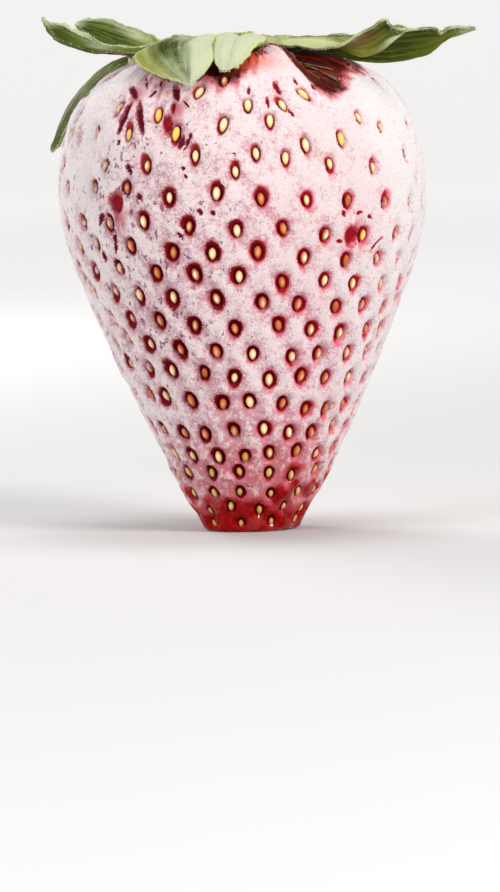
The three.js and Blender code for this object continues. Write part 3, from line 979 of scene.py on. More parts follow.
leaves = {"along": 76, "across": 26, "thickness": 0.26, "crease": 50,
          "veins": (0.26, 0.52, 0.77), "veinWeights": (0.7, 0.6, 0.5), "veinWidth": 0.13,
          "veinDepth": 0.05, "sideVeins": 11, "sideSlant": 1.6, "sideDepth": 0.07,
          "ribWidth": 0.34, "ribDepth": 0.22, "nick": 0.10, "nickSize": 0.55, "span": 9,
          "rootFade": (0, 0.12), "tipFade": (1, 0.9), "toothFrom": (0.45, 0.7),
          "rough": [(0.05, 1.4, 0), (0.025, 0.5, 40)], "root": 3.7, "stations": 9}
drawnLeaves = {  # midrib, left edge, right edge, from the disc to the tip
    # paint is tone, place along and across, its two widths, and how much; the dark tone is painted shade on
    # the halves and lower edges that turn away from the lamps
    "sepal_front": {
        "bulge": 0.1, "ripple": 0.16, "veil": 0.5,
        "rib": [(-2.5, -3, 47.7), (-4.6, -7.5, 48.1), (-5.4, -10.8, 47.5), (-5.3, -13.4, 45.9),
            (-4.9, -15.3, 43.6)],
        "left": [(-1.6, -3.6, 47.9), (-2.3, -7.5, 48.4), (-2.4, -10.8, 47.2), (-2.6, -12.8, 46),
            (-3.4, -14.1, 45), (-4.2, -14.8, 44.3), (-4.8, -15.3, 43.65)],
        "right": [(-3.3, -2.2, 47.9), (-7.8, -6, 47.9), (-9.6, -7.8, 47), (-10.1, -9.6, 46.2),
            (-9.1, -11.4, 45.3), (-7.5, -13.3, 44.5), (-6.1, -14.5, 44), (-5.05, -15.2, 43.65)],
        "paint": [("pale", 0.5, 0.62, 0.6, 0.4, 0.9), ("pale", 0.55, -0.45, 0.3, 0.38, -0.06),
            ("dark", 0.6, -0.35, 0.16, 0.28, 0.75), ("gold", 0.3, -1, 0.45, 0.3, 0.95),
            ("gold", 0.05, 0, 0.2, 1.2, 0.8), ("gold", 0.45, 1, 0.5, 0.14, 0.8),
            ("gold", 0.7, -0.9, 0.3, 0.3, 0.5)]},
    "bract_front": {
        "bulge": 0.14, "ripple": 0.08, "veil": 1,
        "rib": [(0.1, -3.9, 47.8), (-0.1, -8, 48.4), (-0.7, -11, 47.7), (-1.2, -13, 46.1),
            (-1.7, -13.9, 45.05)],
        "left": [(2, -3.6, 47.8), (2.5, -7, 47.9), (1.5, -10, 47.3), (0.6, -12, 46.1), (-0.4, -13.2, 45.3),
            (-1.5, -13.9, 45)],
        "right": [(-1.5, -3.8, 47.9), (-2.3, -8.2, 48.3), (-2.5, -11.1, 47.4), (-2.5, -13, 45.8),
            (-1.9, -13.9, 45.05)],
        "paint": [("gold", 0.12, 0, 0.16, 1.2, 0.75), ("gold", 0.55, 1, 0.6, 0.14, 0.8),
            ("gold", 0.55, -1, 0.6, 0.14, 0.8)]},
    "bract_front_left": {
        "bulge": 0.1, "ripple": 0.1, "veil": 0.45,
        "rib": [(-3.4, -2.4, 47.1), (-6.4, -4.8, 47.2), (-9, -6.9, 46.8), (-10.7, -8.5, 46)],
        "left": [(-2.8, -3.2, 47.1), (-5.6, -6.4, 47), (-8.4, -8.4, 46.3), (-10.6, -8.6, 46)],
        "right": [(-3.8, -1.6, 47.2), (-7.4, -3.4, 47.3), (-9.8, -5.8, 46.9), (-10.8, -8.4, 46.1)],
        "paint": [("gold", 0.6, -1, 0.6, 0.3, 0.7), ("dark", 0.4, 0.2, 0.3, 0.5, 0.4)]},
    "bract_right": {
        "bulge": 0.1, "ripple": 0.07, "veil": 0.2,
        "rib": [(4, -1.6, 48), (7.8, -3.4, 47.9), (9.9, -4.4, 47.2), (11.8, -5, 46.4), (13.4, -5.5, 46.8),
            (14.6, -5.8, 47.7), (15.5, -6, 48.35), (16.1, -6.1, 48.75)],
        "left": [(4.1, -0.6, 48), (8, -1.9, 48.1), (11, -2.8, 48.25), (13.6, -3.9, 48.7), (15.4, -5.2, 49),
            (16.1, -6, 48.8)],
        "right": [(3.5, -2.8, 47.5), (6.6, -5, 47), (9, -6.3, 47.1), (10.6, -6.9, 47.8), (12.4, -7.6, 48.8),
            (13.9, -7.5, 49.8), (14.5, -6.9, 49.1), (15.1, -6.5, 48.75), (16, -6.2, 48.65)],
        "paint": [("pale", 0.12, -0.5, 0.36, 0.9, 1), ("gold", 0.16, -0.5, 0.34, 1, 0.62),
            ("rust", 0.56, -0.62, 0.16, 0.34, 0.9), ("gold", 0.54, -0.12, 0.24, 0.32, 0.95),
            ("pale", 0.9, -0.05, 0.13, 0.075, 0.75), ("dark", 0.72, -0.6, 0.12, 0.25, 0.55)]},
    "sepal_right": {
        "bulge": 0.08, "ripple": 0.05, "veil": 0.06,
        "rib": [(4.2, 0.4, 47), (8.5, 0.7, 46.4), (13.2, 1, 45.8), (15.6, 1, 45.9), (17.8, 1, 46.3),
            (18.7, 1, 46.8), (19.6, 1, 47.6), (20.8, 1, 48.15), (23, 1, 48.6)],
        "left": [(4.2, 1.6, 47.5), (8.5, 2.8, 47.8), (13, 3.7, 47.9), (17.5, 3.4, 48.2), (20.5, 2.2, 48.6),
            (23, 1.15, 48.7)],
        "right": [(4.1, -0.7, 47.5), (9, -1.2, 47.8), (13, -1.6, 48.2), (16.6, -1.7, 48.75),
            (18.9, -1.4, 48.75), (19.6, -0.5, 48.25), (20.2, -0.5, 48.7), (21.5, 0.1, 48.8),
            (22.9, 0.85, 48.75)],
        "paint": [("pale", 0.96, 0, 0.1, 1.5, 0.6), ("gold", 0.8, -0.2, 0.14, 0.4, 0.4),
            ("dark", 0.62, -0.3, 0.3, 0.5, 0.45), ("pale", 0, 0, 0.22, 1.2, 0.5),
            ("gold", 0, 0, 0.25, 1.2, 0.7)]},
    "sepal_left_upper": {
        "bulge": -0.08, "ripple": 0.12, "veil": 0.06,
        "rib": [(-3.8, 2, 47.8), (-8.6, 4.4, 47.7), (-11.7, 6.4, 48.5), (-14.2, 7.2, 49.5),
            (-16.3, 7.5, 50.1)],
        "left": [(-4.1, 1.2, 47.7), (-7.6, 2.2, 47.2), (-10.1, 3, 47), (-12.7, 4, 47.6), (-14.2, 5, 48.4),
            (-15.7, 6.5, 49.3), (-16.25, 7.35, 50)],
        "right": [(-3.3, 2.9, 47.9), (-7.8, 4.9, 48.1), (-8.8, 6.2, 48.7), (-10.2, 7.9, 49.4),
            (-11.6, 8.9, 49.9), (-13, 9.1, 50.3), (-14.4, 8.8, 50.5), (-15.4, 8.2, 50.5),
            (-16.25, 7.6, 50.15)],
        "paint": [("gold", 0.24, -0.3, 0.24, 1.2, 1), ("dark", 0.3, 1.05, 0.45, 0.45, 1),
            ("pale", 0.5, -0.5, 0.2, 0.45, 0.6), ("pale", 0.75, -0.9, 0.3, 0.25, 0.35),
            ("dark", 0.74, 0.2, 0.14, 0.6, 0.45), ("pale", 1, 0, 0.09, 1.5, 0.65)]},
    "sepal_left_long": {
        "bulge": -0.1, "ripple": 0.14, "veil": 0.08, "teeth": 7, "toothSize": 0.28,
        "rib": [(-4.2, -0.9, 47.8), (-9.5, -2.1, 47.3), (-14, -3.1, 47.6), (-16.8, -3.9, 48.7),
            (-18.3, -4, 49.9), (-19.1, -4, 50.6)],
        "left": [(-4, -1.8, 47.7), (-8, -2.9, 47.1), (-11.2, -3.6, 46.9), (-13.9, -4.4, 47.3),
            (-16.4, -5, 47.9), (-17.7, -5, 48.4), (-18.5, -4.7, 49.1), (-19.1, -4.1, 50.45)],
        "right": [(-4.3, -0.1, 47.8), (-9, -1, 47.6), (-13.4, -1.8, 47.9), (-14.6, -2.2, 48.5),
            (-15.6, -2.5, 49.1), (-16.9, -3, 49.9), (-17.8, -3.3, 50.1), (-18.5, -3.6, 50.2),
            (-19.05, -3.9, 50.6)],
        "paint": [("rust", 0.44, 0.8, 0.16, 0.3, 0.75), ("pale", 1, 0, 0.1, 1.5, 0.75),
            ("dark", 0.45, 1.05, 0.6, 0.42, 1), ("pale", 0.8, -0.95, 0.18, 0.26, 0.8),
            ("dark", 0.82, 0.1, 0.11, 0.55, 0.6), ("pale", 0.6, -0.35, 0.1, 0.5, 0.5),
            ("gold", 0.05, 0, 0.2, 1.2, 0.6), ("dark", 0.25, 0.5, 0.2, 0.6, 0.5)]},
    "sepal_left_low": {
        "bulge": 0.1, "ripple": 0.08, "veil": 0,
        "rib": [(-4.1, 0.4, 47.1), (-8, 0.8, 47.2), (-11.3, 1.1, 46.5), (-13.5, 1.2, 45.5),
            (-15.4, 1.2, 43.9), (-17, 1.2, 42), (-18.2, 1.1, 39.9), (-18.9, 1, 38), (-18.8, 0.9, 37.4)],
        "left": [(-4.1, -0.3, 47.2), (-8.3, -1.1, 46.8), (-11.5, -2.1, 45.8), (-14.15, -2.8, 43.95),
            (-15.7, -2.6, 42.1), (-16.95, -1.9, 40), (-18, -0.4, 38.15), (-18.6, 0.7, 37.45)],
        "right": [(-4, 1.1, 47.2), (-8.2, 2.6, 46.9), (-11.7, 3.3, 46), (-14.2, 3.7, 44.3), (-16, 3.6, 42.3),
            (-17.3, 3, 40), (-18.3, 1.9, 38.2), (-18.65, 1.1, 37.45)],
        "paint": [("dark", 0.4, 0, 0.8, 1.5, 0.9), ("pale", 0.4, 0, 0.5, 1.5, -0.45),
            ("pale", 1, 0, 0.12, 1.5, 0.7), ("gold", 0.5, 0.3, 0.5, 1, 0.28)]}}
spreadLeaves = {  # azimuth, sweep, width, lift of the edges, then reach and height along the leaf
    "sepal_back_right": {
        "azimuth": 46, "sweep": 2, "width": 6.8, "lift": 0.5, "tier": 47, "ripple": 0.22, "veil": 0.34,
        "path": [(8, 47.6), (14, 47.6), (17.5, 46.9), (19.4, 45.8)],
        "paint": [("dark", 0.5, 0.4, 0.2, 0.4, 0.6), ("gold", 0.1, 0, 0.25, 1.2, 0.7)]},
    "bract_back_right": {
        "azimuth": 72, "sweep": 5, "width": 4.2, "lift": 0.2, "tier": 47.7, "ripple": 0.15, "veil": 0.6,
        "path": [(8, 48), (13, 48), (16.7, 46.6)],
        "paint": [("gold", 0.1, 0, 0.25, 1.2, 0.7), ("pale", 0.7, -0.5, 0.3, 0.5, 0.4)]},
    "sepal_back": {
        "azimuth": 100, "sweep": 0, "width": 7.3, "lift": 0.3, "tier": 47, "ripple": 0.24, "veil": 0.28,
        "path": [(8, 47.6), (14, 47.2), (19.2, 44.3)],
        "paint": [("dark", 0.55, -0.4, 0.25, 0.4, 0.6), ("gold", 0.1, 0, 0.25, 1.2, 0.7),
            ("pale", 0.9, 0.3, 0.2, 0.6, 0.5), ("rust", 0.7, 0.9, 0.15, 0.2, 0.6)]},
    "bract_back_left": {
        "azimuth": 118, "sweep": -5, "width": 4.4, "lift": 0.3, "tier": 47.7, "ripple": 0.15, "veil": 0.5,
        "teeth": 5, "toothSize": 0.2,
        "path": [(8, 48.1), (12, 48.1), (16.8, 46.7)],
        "paint": [("gold", 0.1, 0, 0.25, 1.2, 0.7), ("pale", 0.6, 0.5, 0.3, 0.5, 0.4)]}}


def spreadLeaf(setting):
    # midrib and edges of a plain leaf, from its path and its width
    stations = smoothLine([(leaves["root"], setting["tier"])] + setting["path"], leaves["stations"])
    rib, left, right = [], [], []
    for i, (reach, height) in enumerate(stations):
        along = i / (len(stations) - 1)
        angle = math.radians(setting["azimuth"] + setting["sweep"] * (along ** 2 - 0.4))
        out = Vector((math.cos(angle), math.sin(angle), 0))
        side = Vector((-out.y, out.x, 0))
        swell = math.sin(math.pi * along ** 0.86) ** 0.8 * (1 - 0.18 * along)
        half = setting["width"] / 2 * (0.30 * (1 - along) + 1.02 * swell) + 0.05
        lift = Vector((0, 0, setting["lift"] * math.sin(math.pi * min(1, along * 1.2))))
        point = out * reach + Vector((0, 0, height))
        rib.append(point)
        left.append(point + side * half + lift)
        right.append(point - side * half + lift * 0.7)
    return {"rib": rib, "left": left, "right": right, "bulge": 0.10}


def alongLine(points, along):
    # places on the smooth line through the points, for shares of its length
    line = smoothLine([tuple(point) for point in points], 200)
    return np.stack([np.interp(along, np.linspace(0, 1, 200), column) for column in line.T], axis=1)


def makeLeaf(name, setting, number):
    deselectAll()
    bpy.ops.mesh.primitive_grid_add(x_subdivisions=leaves["along"], y_subdivisions=leaves["across"], size=2)
    leaf = newPiece(name + "_leaf")
    flat = readPoints(leaf)
    along, across = (flat[:, 0] + 1) / 2, flat[:, 1]
    spine, left, right = (alongLine(setting[key], along) for key in ("rib", "left", "right"))
    ahead, behind = (alongLine(setting["rib"], np.clip(along + step, 0, 1)) for step in (0.02, -0.02))
    ahead = unit(ahead - behind)
    span = np.where((across > 0)[:, None], left, right) - spine
    width = np.linalg.norm(span, axis=1)
    out = span / width[:, None]
    normal = unit(np.cross(ahead, out) * np.where(across > 0, 1, -1)[:, None])
    share = np.abs(across)
    tipFade = smoothstep(*leaves["rootFade"], along) * smoothstep(*leaves["tipFade"], along)

    # bowed and rippled, with a midrib, side veins and a rough skin
    bow = setting["bulge"] * width * 4 * share * (1 - share)
    shift = number * 1.7
    ripple = setting["ripple"] * share ** 2 * (
        np.sin(along * 15 + shift + 1.5 * np.sign(across)) + 0.6 * np.sin(along * 31 + 2 * shift - across))
    rib = -leaves["ribDepth"] * bell(share * width, leaves["ribWidth"])
    vein = np.zeros(len(along))
    for place in leaves["veins"]:
        vein = np.maximum(vein, bell((share - place) * width, leaves["veinWidth"]))
    slant = np.abs((along * leaves["sideVeins"] - share * leaves["sideSlant"]) % 1 - 0.5) * 2
    sideVein = np.exp(-((1 - slant) * 2.2) ** 2) * (0.2 + share) * (1 - share)
    sheet = flat * leaves["span"] * mm
    rough = grains(sheet, [(depth, size, number + step) for depth, size, step in leaves["rough"]])
    move = (bow + ripple + rib - leaves["veinDepth"] * vein - leaves["sideDepth"] * sideVein
            + rough) * tipFade
    points = spine + span * share[:, None] + normal * move[:, None]
    if "teeth" in setting:  # small points along the outer half of the edges
        saw = (along * setting["teeth"] * 2) % 1
        push = setting["toothSize"] * share ** 4 * (saw - 0.5)
        push = push * smoothstep(*leaves["toothFrom"], along) * tipFade
        points = points + out * push[:, None]
    nick = leaves["nick"] * share ** 6 * grain(sheet, leaves["nickSize"], number + 9) * tipFade
    points = points + out * nick[:, None]
    writePoints(leaf, points * mm)
    pointValue(leaf, "rim", width * (1 - share))
    tones = {tone: np.zeros(len(along)) for tone in ("pale", "dark", "gold", "rust")}
    tones["pale"] += setting["veil"]
    for tone, far, aside, long, wide, amount in setting["paint"]:
        tones[tone] += amount * np.exp(-((along - far) / long) ** 2 - ((across - aside) / wide) ** 2)
    for tone, values in tones.items():
        pointValue(leaf, tone, np.clip(values, -0.5 if tone == "pale" else 0, 1))
    corner = readAll(leaf.data.loops, "vertex_index", int)
    writeMap(leaf, "leafMap", across[corner], along[corner])

    leaf.data.materials.append(leafTop)
    leaf.data.materials.append(leafUnder)
    shell = leaf.modifiers.new("shell", "SOLIDIFY")
    shell.thickness = leaves["thickness"] * mm
    shell.offset = -1
    shell.material_offset = 1
    bpy.ops.object.modifier_apply(modifier="shell")
    bpy.ops.object.shade_smooth_by_angle(angle=math.radians(leaves["crease"]))
    return finishPiece(leaf, [name])


# the dark tone is the green of the painted shade on the leaves
leafTones = {"shade": (0.050, 0.080, 0.008), "green": (0.140, 0.190, 0.026),
             "vein": (0.31, 0.36, 0.085), "dark": (0.024, 0.037, 0.004), "gold": (0.34, 0.36, 0.022),
             "rust": (0.34, 0.13, 0.04), "frost": (0.50, 0.535, 0.365), "frostGold": (0.51, 0.53, 0.16),
             "rim": (0.44, 0.47, 0.26)}


def leafMaterial(name, strength, light):
    # strength is how much of the painted frost lies on this face, light how bright its green is; the lower
    # light on the under faces is painted shade
    material, tree = newMaterial(name)
    leafMap = mapOf(tree, "leafMap")
    rim, pale, dark, gold, rust = valuesOf(tree, "rim pale dark gold rust")
    side = calculate("ABSOLUTE", split(leafMap)["X"])
    lit = {tone: [part * light for part in colour] for tone, colour in leafTones.items()}

    def mapNoise(lengthwise, crosswise, detail):  # drawn out along the veins
        return addNode(tree, "TexNoise", {
            "Vector": stretched(leafMap, (crosswise, lengthwise, 1)), "Scale": 1.0,
            "Detail": detail}).outputs["Fac"]

    wander = offset(noiseOf(tree, 2.2), 0.5, 0.12)
    veined = ramp(calculate("ABSOLUTE", plus(side, wander)), 0.008, 0.045, 1.0, 0.0)
    for place, weight in zip(leaves["veins"], leaves["veinWeights"]):
        gap = calculate("ABSOLUTE", minus(plus(side, wander), place))
        veined = calculate("MAXIMUM", veined, ramp(gap, 0.008, 0.045, weight, 0.0))
    streaks, threads = mapNoise(2.0, 6.0, 3), mapNoise(3.0, 26.0, 2)
    fine, patch = noiseOf(tree, 0.22, 2), noiseOf(tree, 2.2, 3)

    body = mixColour(ramp(plus(streaks, offset(patch, 0.5, 0.9)), 0.34, 0.68), lit["shade"], lit["green"])
    rusty = times(rust, ramp(plus(patch, offset(threads, 0.5, 0.6)), 0.36, 0.56))
    # painted shade: the dark paint darkens the green, and further below it thins the frost veil and the pale
    # rim
    for share, tone in ((ramp(threads, 0.54, 0.66, 0.0, 0.35), "vein"), (times(veined, 0.55), "vein"),
                        (times(dark, 0.85), "dark"), (times(gold, 0.80), "gold"), (rusty, "rust")):
        body = mixColour(share, body, lit[tone])
    # frost: a soft veil, with pale grains along the rim
    veil = minus(times(pale, strength), times(dark, 0.35))
    for part, amount in ((patch, 0.45), (streaks, 0.45), (fine, 0.22), (threads, 0.25)):
        veil = plus(veil, offset(part, 0.5, amount))
    veil = ramp(veil, 0.12, 1.00, 0.0, 0.92)
    edge = ramp(plus(rim, offset(fine, 0.5, 0.30)), 0.06, 0.26, 0.85, 0.0)
    edge = times(edge, ramp(plus(patch, offset(streaks, 0.5, 0.5)), 0.36, 0.58, 0.30, 1.0))
    edge = times(edge, ramp(dark, 0.25, 0.80, 1.0, 0.12))
    white = mixColour(times(gold, 0.85), leafTones["frost"], leafTones["frostGold"])
    body = mixColour(veil, body, white)
    body = mixColour(edge, body, mixColour(gold, leafTones["rim"], leafTones["frostGold"]))
    lump = plus(times(fine, 0.5), plus(streaks, times(threads, 0.6)))
    return dress(material, {
        "Base Color": body, "Roughness": ramp(veil, 0, 1, 0.50, 0.75), "Specular IOR Level": 0.03,
        "Subsurface Weight": 0.15, "Subsurface Radius": (0.5, 0.9, 0.2),
        "Subsurface Scale": 0.4 * mm, "Normal": bumpOf(lump, 0.10, 0.8)})


# the under faces get a darker green than the top faces, as painted shade
leafTop = leafMaterial("leafTop", 1.0, 0.66)
leafUnder = leafMaterial("leafUnder", 0.95, 0.56)
for number, (name, setting) in enumerate(drawnLeaves.items()):
    makeLeaf(name, setting, number + 1)
for number, (name, setting) in enumerate(spreadLeaves.items()):
    makeLeaf(name, setting | spreadLeaf(setting), number + 20)
print("leaves made")


# the disc that carries the leaves, and the cut stem

disc = {"outline": [(0, 46.7), (3.0, 46.7), (4.4, 46.9), (5.2, 47.3), (5.1, 47.75), (4.4, 48.02),
                    (3.2, 48.05), (2.4, 47.85), (1.7, 47.7), (1.2, 47.75), (0, 47.8)],
        "sectors": 120, "rings": 44, "ribs": 24, "ribDepth": 0.06, "lobe": 0.10, "upperFrom": 47.2,
        "outer": (1.5, 4.0), "rough": [(0.06, 0.7, 60)],
        "shade": (0.15, 0.19, 0.028), "green": (0.28, 0.32, 0.060), "frost": (0.44, 0.49, 0.27)}


def makeDisc():
    rings = disc["rings"]
    deselectAll()
    bpy.ops.mesh.primitive_uv_sphere_add(segments=disc["sectors"], ring_count=rings, radius=1)
    piece = newPiece("calyxBase")
    ball = readPoints(piece)
    ring = np.round(np.arccos(np.clip(-ball[:, 2], -1, 1)) / math.pi * rings)
    angle = np.arctan2(ball[:, 1], ball[:, 0])
    line = smoothLine(disc["outline"], rings + 1)
    radius, height = (np.interp(ring, np.arange(rings + 1), line[:, k]) for k in range(2))
    outer, upper = smoothstep(*disc["outer"], radius), height > disc["upperFrom"]
    lobes = (disc["lobe"] * np.sin(12 * angle + 0.6) * outer
             + disc["lobe"] * np.sin(5 * angle + 2) * outer)
    ribs = disc["ribDepth"] * np.cos(disc["ribs"] * angle + 2 * np.sin(3 * angle)) * outer
    points = np.stack([(radius + lobes) * np.cos(angle), (radius + lobes) * np.sin(angle),
                       height + ribs * upper], axis=1)
    points[:, 2] += grains(points * mm, disc["rough"]) * upper
    writePoints(piece, points * mm)
    bpy.ops.object.shade_smooth()
    material, tree = newMaterial("calyxBaseSkin")
    patch, fine = noiseOf(tree, 0.9, 3), noiseOf(tree, 0.17, 2)
    body = mixColour(ramp(patch, 0.3, 0.7), disc["shade"], disc["green"])
    frosted = ramp(plus(times(fine, 0.6), patch), 0.60, 1.25)
    piece.data.materials.append(dress(material, {
        "Base Color": mixColour(frosted, body, disc["frost"]), "Roughness": 0.6,
        "Subsurface Weight": 0.2, "Subsurface Scale": 0.6 * mm, "Normal": bumpOf(fine, 0.08, 0.8)}))
    return finishPiece(piece, ["calyx_disc"])


stem = {"radius": 1.2, "low": 47.5, "high": 48.6, "skirt": 0.45, "wide": 1.04, "deep": 0.94,
        "sides": 36, "cuts": 3, "ragged": [(0.10, 0.45, 70)], "raggedFrom": 0.3,
        "steps": [(0.10, 0.04), (0.14, 0.0), (0.18, -0.09), (0.22, -0.05), (0.2, 0.03)],  # in, up
        "bark": [(0.15, 0.17, 0.035), (0.40, 0.40, 0.13)],
        "pith": [(0.26, 0.19, 0.06), (0.62, 0.58, 0.28)], "frost": (0.80, 0.80, 0.62)}


def makeStem():
    # a stub cut across: bark, a pale ring and a sunk pith
    tall = stem["high"] - stem["low"]
    deselectAll()
    bpy.ops.mesh.primitive_cylinder_add(vertices=stem["sides"], radius=stem["radius"] * mm,
                                        depth=tall * mm, location=(0, 0, (stem["low"] + tall / 2) * mm))
    piece = newPiece("cutStem")
    bpy.ops.object.transform_apply(location=True, rotation=True, scale=True)
    pick(piece, "FACE", lambda face: face.normal.z > 0.9)
    for inward, up in stem["steps"]:
        bpy.ops.mesh.inset(thickness=inward * mm, depth=0)
        bpy.ops.transform.translate(value=(0, 0, up * mm))
    bpy.ops.mesh.poke()
    pick(piece, "FACE", lambda face: abs(face.normal.z) < 0.5, fresh=False)
    bpy.ops.mesh.subdivide(number_cuts=stem["cuts"])
    faceOutwards()
    points = readPoints(piece) / mm
    radius = np.hypot(points[:, 0], points[:, 1])
    angle = np.arctan2(points[:, 1], points[:, 0])
    climb = smoothstep(stem["low"], stem["high"], points[:, 2])
    flare = (1 + stem["skirt"] * (1 - climb) ** 2 + 0.05 * np.cos(9 * angle)
             + 0.04 * np.cos(4 * angle + 1))
    points[:, 0] *= flare * stem["wide"]
    points[:, 1] *= flare * stem["deep"]
    ragged = grains(points * mm, stem["ragged"]) + 0.05 * np.cos(2 * angle + 1)
    points[:, 2] += ragged * smoothstep(stem["high"] - stem["raggedFrom"], stem["high"], points[:, 2])
    writePoints(piece, points * mm)
    pointValue(piece, "core", radius / stem["radius"])
    smooth = piece.modifiers.new("smooth", "SUBSURF")
    smooth.levels = smooth.render_levels = 1
    bpy.ops.object.modifier_apply(modifier="smooth")
    bpy.ops.object.shade_smooth()
    material, tree = newMaterial("stemCut")
    core = valueOf(tree, "core")
    fibre = noiseOf(tree, 0.35, 4, stretch=(1, 1, 0.2))
    bark = mixColour(ramp(fibre, 0.35, 0.65), *stem["bark"])
    pith = mixColour(ramp(core, 0.25, 0.45), *stem["pith"])
    tone = mixColour(ramp(core, 0.8, 0.92), pith, bark)
    frosted = ramp(noiseOf(tree, 0.25, 3), 0.52, 0.72, 0.0, 0.7)
    piece.data.materials.append(dress(material, {
        "Base Color": mixColour(frosted, tone, stem["frost"]), "Roughness": 0.62,
        "Normal": bumpOf(fibre, 0.10, 0.8)}))
    return finishPiece(piece, ["stem_stub"])


makeDisc()
makeStem()
print("disc and stem made")


# dried stamens lying on the skin under the leaves

stamens = {"thickness": 0.058, "lift": 0.04, "steps": 12, "around": 6, "crease": 60,
           "antherAt": 0.93, "antherLong": 0.07, "antherSize": 1.6, "taper": 0.35, "root": 0.3,
           "thread": [(0.13, 0.055, 0.012), (0.34, 0.23, 0.07)], "anther": (0.115, 0.050, 0.012),
           "places": [  # turn, length, lean in degrees
               (-44, 6.6, 12), (-38, 7.6, -6), (-33, 8.3, 5), (-29, 7.9, -9), (-25, 6.7, 6), (30, 4, 4),
               (33, 6, -2), (35, 5, 9), (37, 7.4, 2), (39, 6.2, -7), (41, 8.2, 6), (43, 7, -4), (45, 8.4, 3),
               (47, 6.3, -8), (50, 7, 1), (54, 5.6, -8), (64, 5, 4), (84, 5.6, 8), (101, 5, -6),
               (122, 6.2, 5), (140, 5.4, -9), (158, 6.4, 3), (176, 5.6, 8), (-166, 6, -5), (-149, 5.2, 6),
               (-131, 6.2, -8), (-112, 5, 4), (-93, 5.6, -3), (-74, 5.4, 9), (-8, 4.6, 5), (4, 4.2, -6)]}


def makeStamens():
    deselectAll()
    bpy.ops.mesh.primitive_cylinder_add(vertices=stamens["around"], radius=1, depth=1,
                                        location=(0, 0, 0.5))
    shape = newPiece("stamenShape")
    bpy.ops.object.transform_apply(location=True, rotation=True, scale=True)
    heights = [vertex.co.z for vertex in shape.data.vertices]
    pick(shape, "EDGE", lambda edge: abs(heights[edge.vertices[0]] - heights[edge.vertices[1]]) > 0.5)
    bpy.ops.mesh.subdivide(number_cuts=stamens["steps"] - 1)
    bpy.ops.object.mode_set(mode="OBJECT")
    base = readPoints(shape)
    share = base[:, 2]
    anther = bell(share - stamens["antherAt"], stamens["antherLong"])
    size = stamens["thickness"] * (1 - stamens["taper"] * share + stamens["antherSize"] * anther)
    copies = []
    for number, (turn, length, lean) in enumerate(stamens["places"]):
        arc = sideArc + stamens["root"] - length * share
        way = turn + lean * (share ** 1.5) + 1.2 * np.sin(share * 5 + number)
        centre, normal, up = (np.array(part) for part in zip(*[
            skinFrame(t, a) for t, a in zip(way, arc)]))
        lift = stamens["lift"] + 0.10 * np.sin(share * 3.1) * (1 + 0.6 * math.sin(number * 2.3))
        points = centre + normal * (lift + base[:, 1] * size * (1 - 0.3 * anther))[:, None]
        points = points + np.cross(up, normal) * (base[:, 0] * size)[:, None]
        made = copyOf(shape)
        writePoints(made, points * mm)
        pointValue(made, "anther", anther)
        copies.append(made)
    piece = joinCopies(copies, shape, "driedStamens")
    faceOutwards()
    bpy.ops.object.shade_smooth_by_angle(angle=math.radians(stamens["crease"]))
    material, tree = newMaterial("driedStamen")
    thread = mixColour(ramp(noiseOf(tree, 0.8, 3), 0.35, 0.65), *stamens["thread"])
    piece.data.materials.append(dress(material, {
        "Base Color": mixColour(valueOf(tree, "anther"), thread, stamens["anther"]),
        "Roughness": 0.6, "Normal": bumpOf(noiseOf(tree, 0.15), 0.04, 0.7)}))
    return finishPiece(piece)


makeStamens()
print("stamens made")
berry = makeBerry()
print("berry made with", seedCount, "pits")


# frost crystals that stand on the crust and on the rims of the leaves

crystals = {"berry": 24000, "leaves": 7000, "berrySizes": (0.07, 0.17), "leafSizes": (0.06, 0.13),
            "tall": 0.7, "rim": 0.45, "lean": 0.35, "sunk": 0.35, "jitter": 0.12,
            "berryTones": [(0.66, 0.52, 0.55), (0.84, 0.79, 0.80)],
            "leafTones": [(0.42, 0.48, 0.34), (0.70, 0.75, 0.62)]}


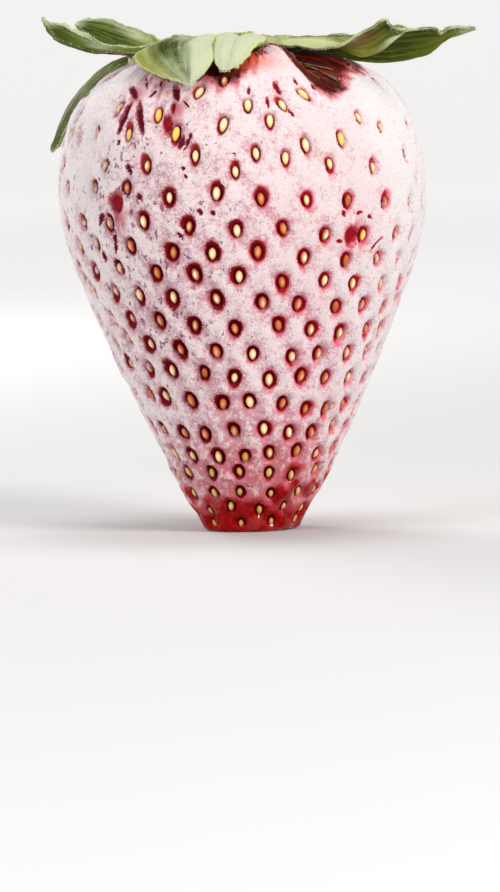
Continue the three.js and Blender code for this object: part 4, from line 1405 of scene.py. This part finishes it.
def makeCrystals(name, slot, spots, normals, sizes, tones):
    # one four-sided crystal, repeated at the spots with its own turn and size
    deselectAll()
    bpy.ops.mesh.primitive_cone_add(vertices=4, radius1=0.5, radius2=0, depth=1)
    shape = newPiece("crystalShape")
    bpy.ops.object.mode_set(mode="EDIT")
    bpy.ops.mesh.select_all(action="SELECT")
    bpy.ops.mesh.quads_convert_to_tris()
    bpy.ops.object.mode_set(mode="OBJECT")
    base = readPoints(shape)
    faces = np.array([tuple(face.vertices) for face in shape.data.polygons])
    bpy.data.objects.remove(shape)
    count = len(spots)
    chance = np.random.default_rng(count)
    lean = unit(normals + chance.normal(0, crystals["lean"], (count, 3)))
    side = unit(np.cross(lean, chance.normal(0, 1, (count, 3))))
    size = chance.uniform(*sizes, count)
    wide = size * chance.uniform(0.7, 1.2, count)
    tall = size * crystals["tall"] * chance.uniform(0.6, 1.3, count)
    points = spots[:, None]
    for way, reach in ((side, base[:, 0] * wide[:, None]), (np.cross(lean, side), base[:, 1] * wide[:, None]),
                       (lean, (base[:, 2] + crystals["sunk"]) * tall[:, None])):
        points = points + way[:, None] * reach[..., None]
    corners = (faces[None] + (np.arange(count) * len(base))[:, None, None]).reshape(-1, 3)
    mesh = bpy.data.meshes.new(name)
    mesh.from_pydata(points.reshape(-1, 3) * mm, [], corners)
    piece = bpy.data.objects.new(name, mesh)
    bpy.context.scene.collection.objects.link(piece)
    pointValue(piece, "shade", np.repeat(chance.random(count), len(base)))
    material, tree = newMaterial(name + "Ice")
    share = plus(valueOf(tree, "shade"), offset(noiseOf(tree, 1.5, 2), 0.5, 1.2))
    piece.data.materials.append(dress(material, {
        "Base Color": mixColour(ramp(share, 0.0, 0.9), *tones), "Roughness": 0.42,
        "Subsurface Weight": 0.2, "Subsurface Scale": 0.3 * mm}))
    return finishPiece(piece)


def crustSpots(piece, allowed, wanted):
    # places beside some of the allowed vertices, and the way out of the skin there
    points, normals = readPoints(piece) / mm, readNormals(piece)
    wanted = min(wanted, int(allowed.sum()))
    chosen = picker.choice(np.flatnonzero(allowed), wanted, replace=False)
    jitter = picker.uniform(-crystals["jitter"], crystals["jitter"], (wanted, 3))
    jitter -= normals[chosen] * np.sum(jitter * normals[chosen], axis=1)[:, None]
    return points[chosen] + jitter, normals[chosen]


picker = np.random.default_rng(5)
crusted = readValue(berry, "crusted")
lively = (crusted * (0.6 + 0.4 * grain(readPoints(berry), 1.4, 80))
          > picker.uniform(0.2, 0.9, len(crusted)))
makeCrystals("berryCrystals", "frosted_flesh", *crustSpots(berry, lively, crystals["berry"]),
             crystals["berrySizes"], crystals["berryTones"])
leafSpots = [crustSpots(leaf, readValue(leaf, "rim") < crystals["rim"], crystals["leaves"] // 12)
             for leaf in bpy.data.objects if leaf.name.endswith("_leaf")]
makeCrystals("leafCrystals", "leaf", *(np.vstack(part) for part in zip(*leafSpots)),
             crystals["leafSizes"], crystals["leafTones"])
print("crystals made")


# the view layer is brought up to date at the end
bpy.context.view_layer.update()
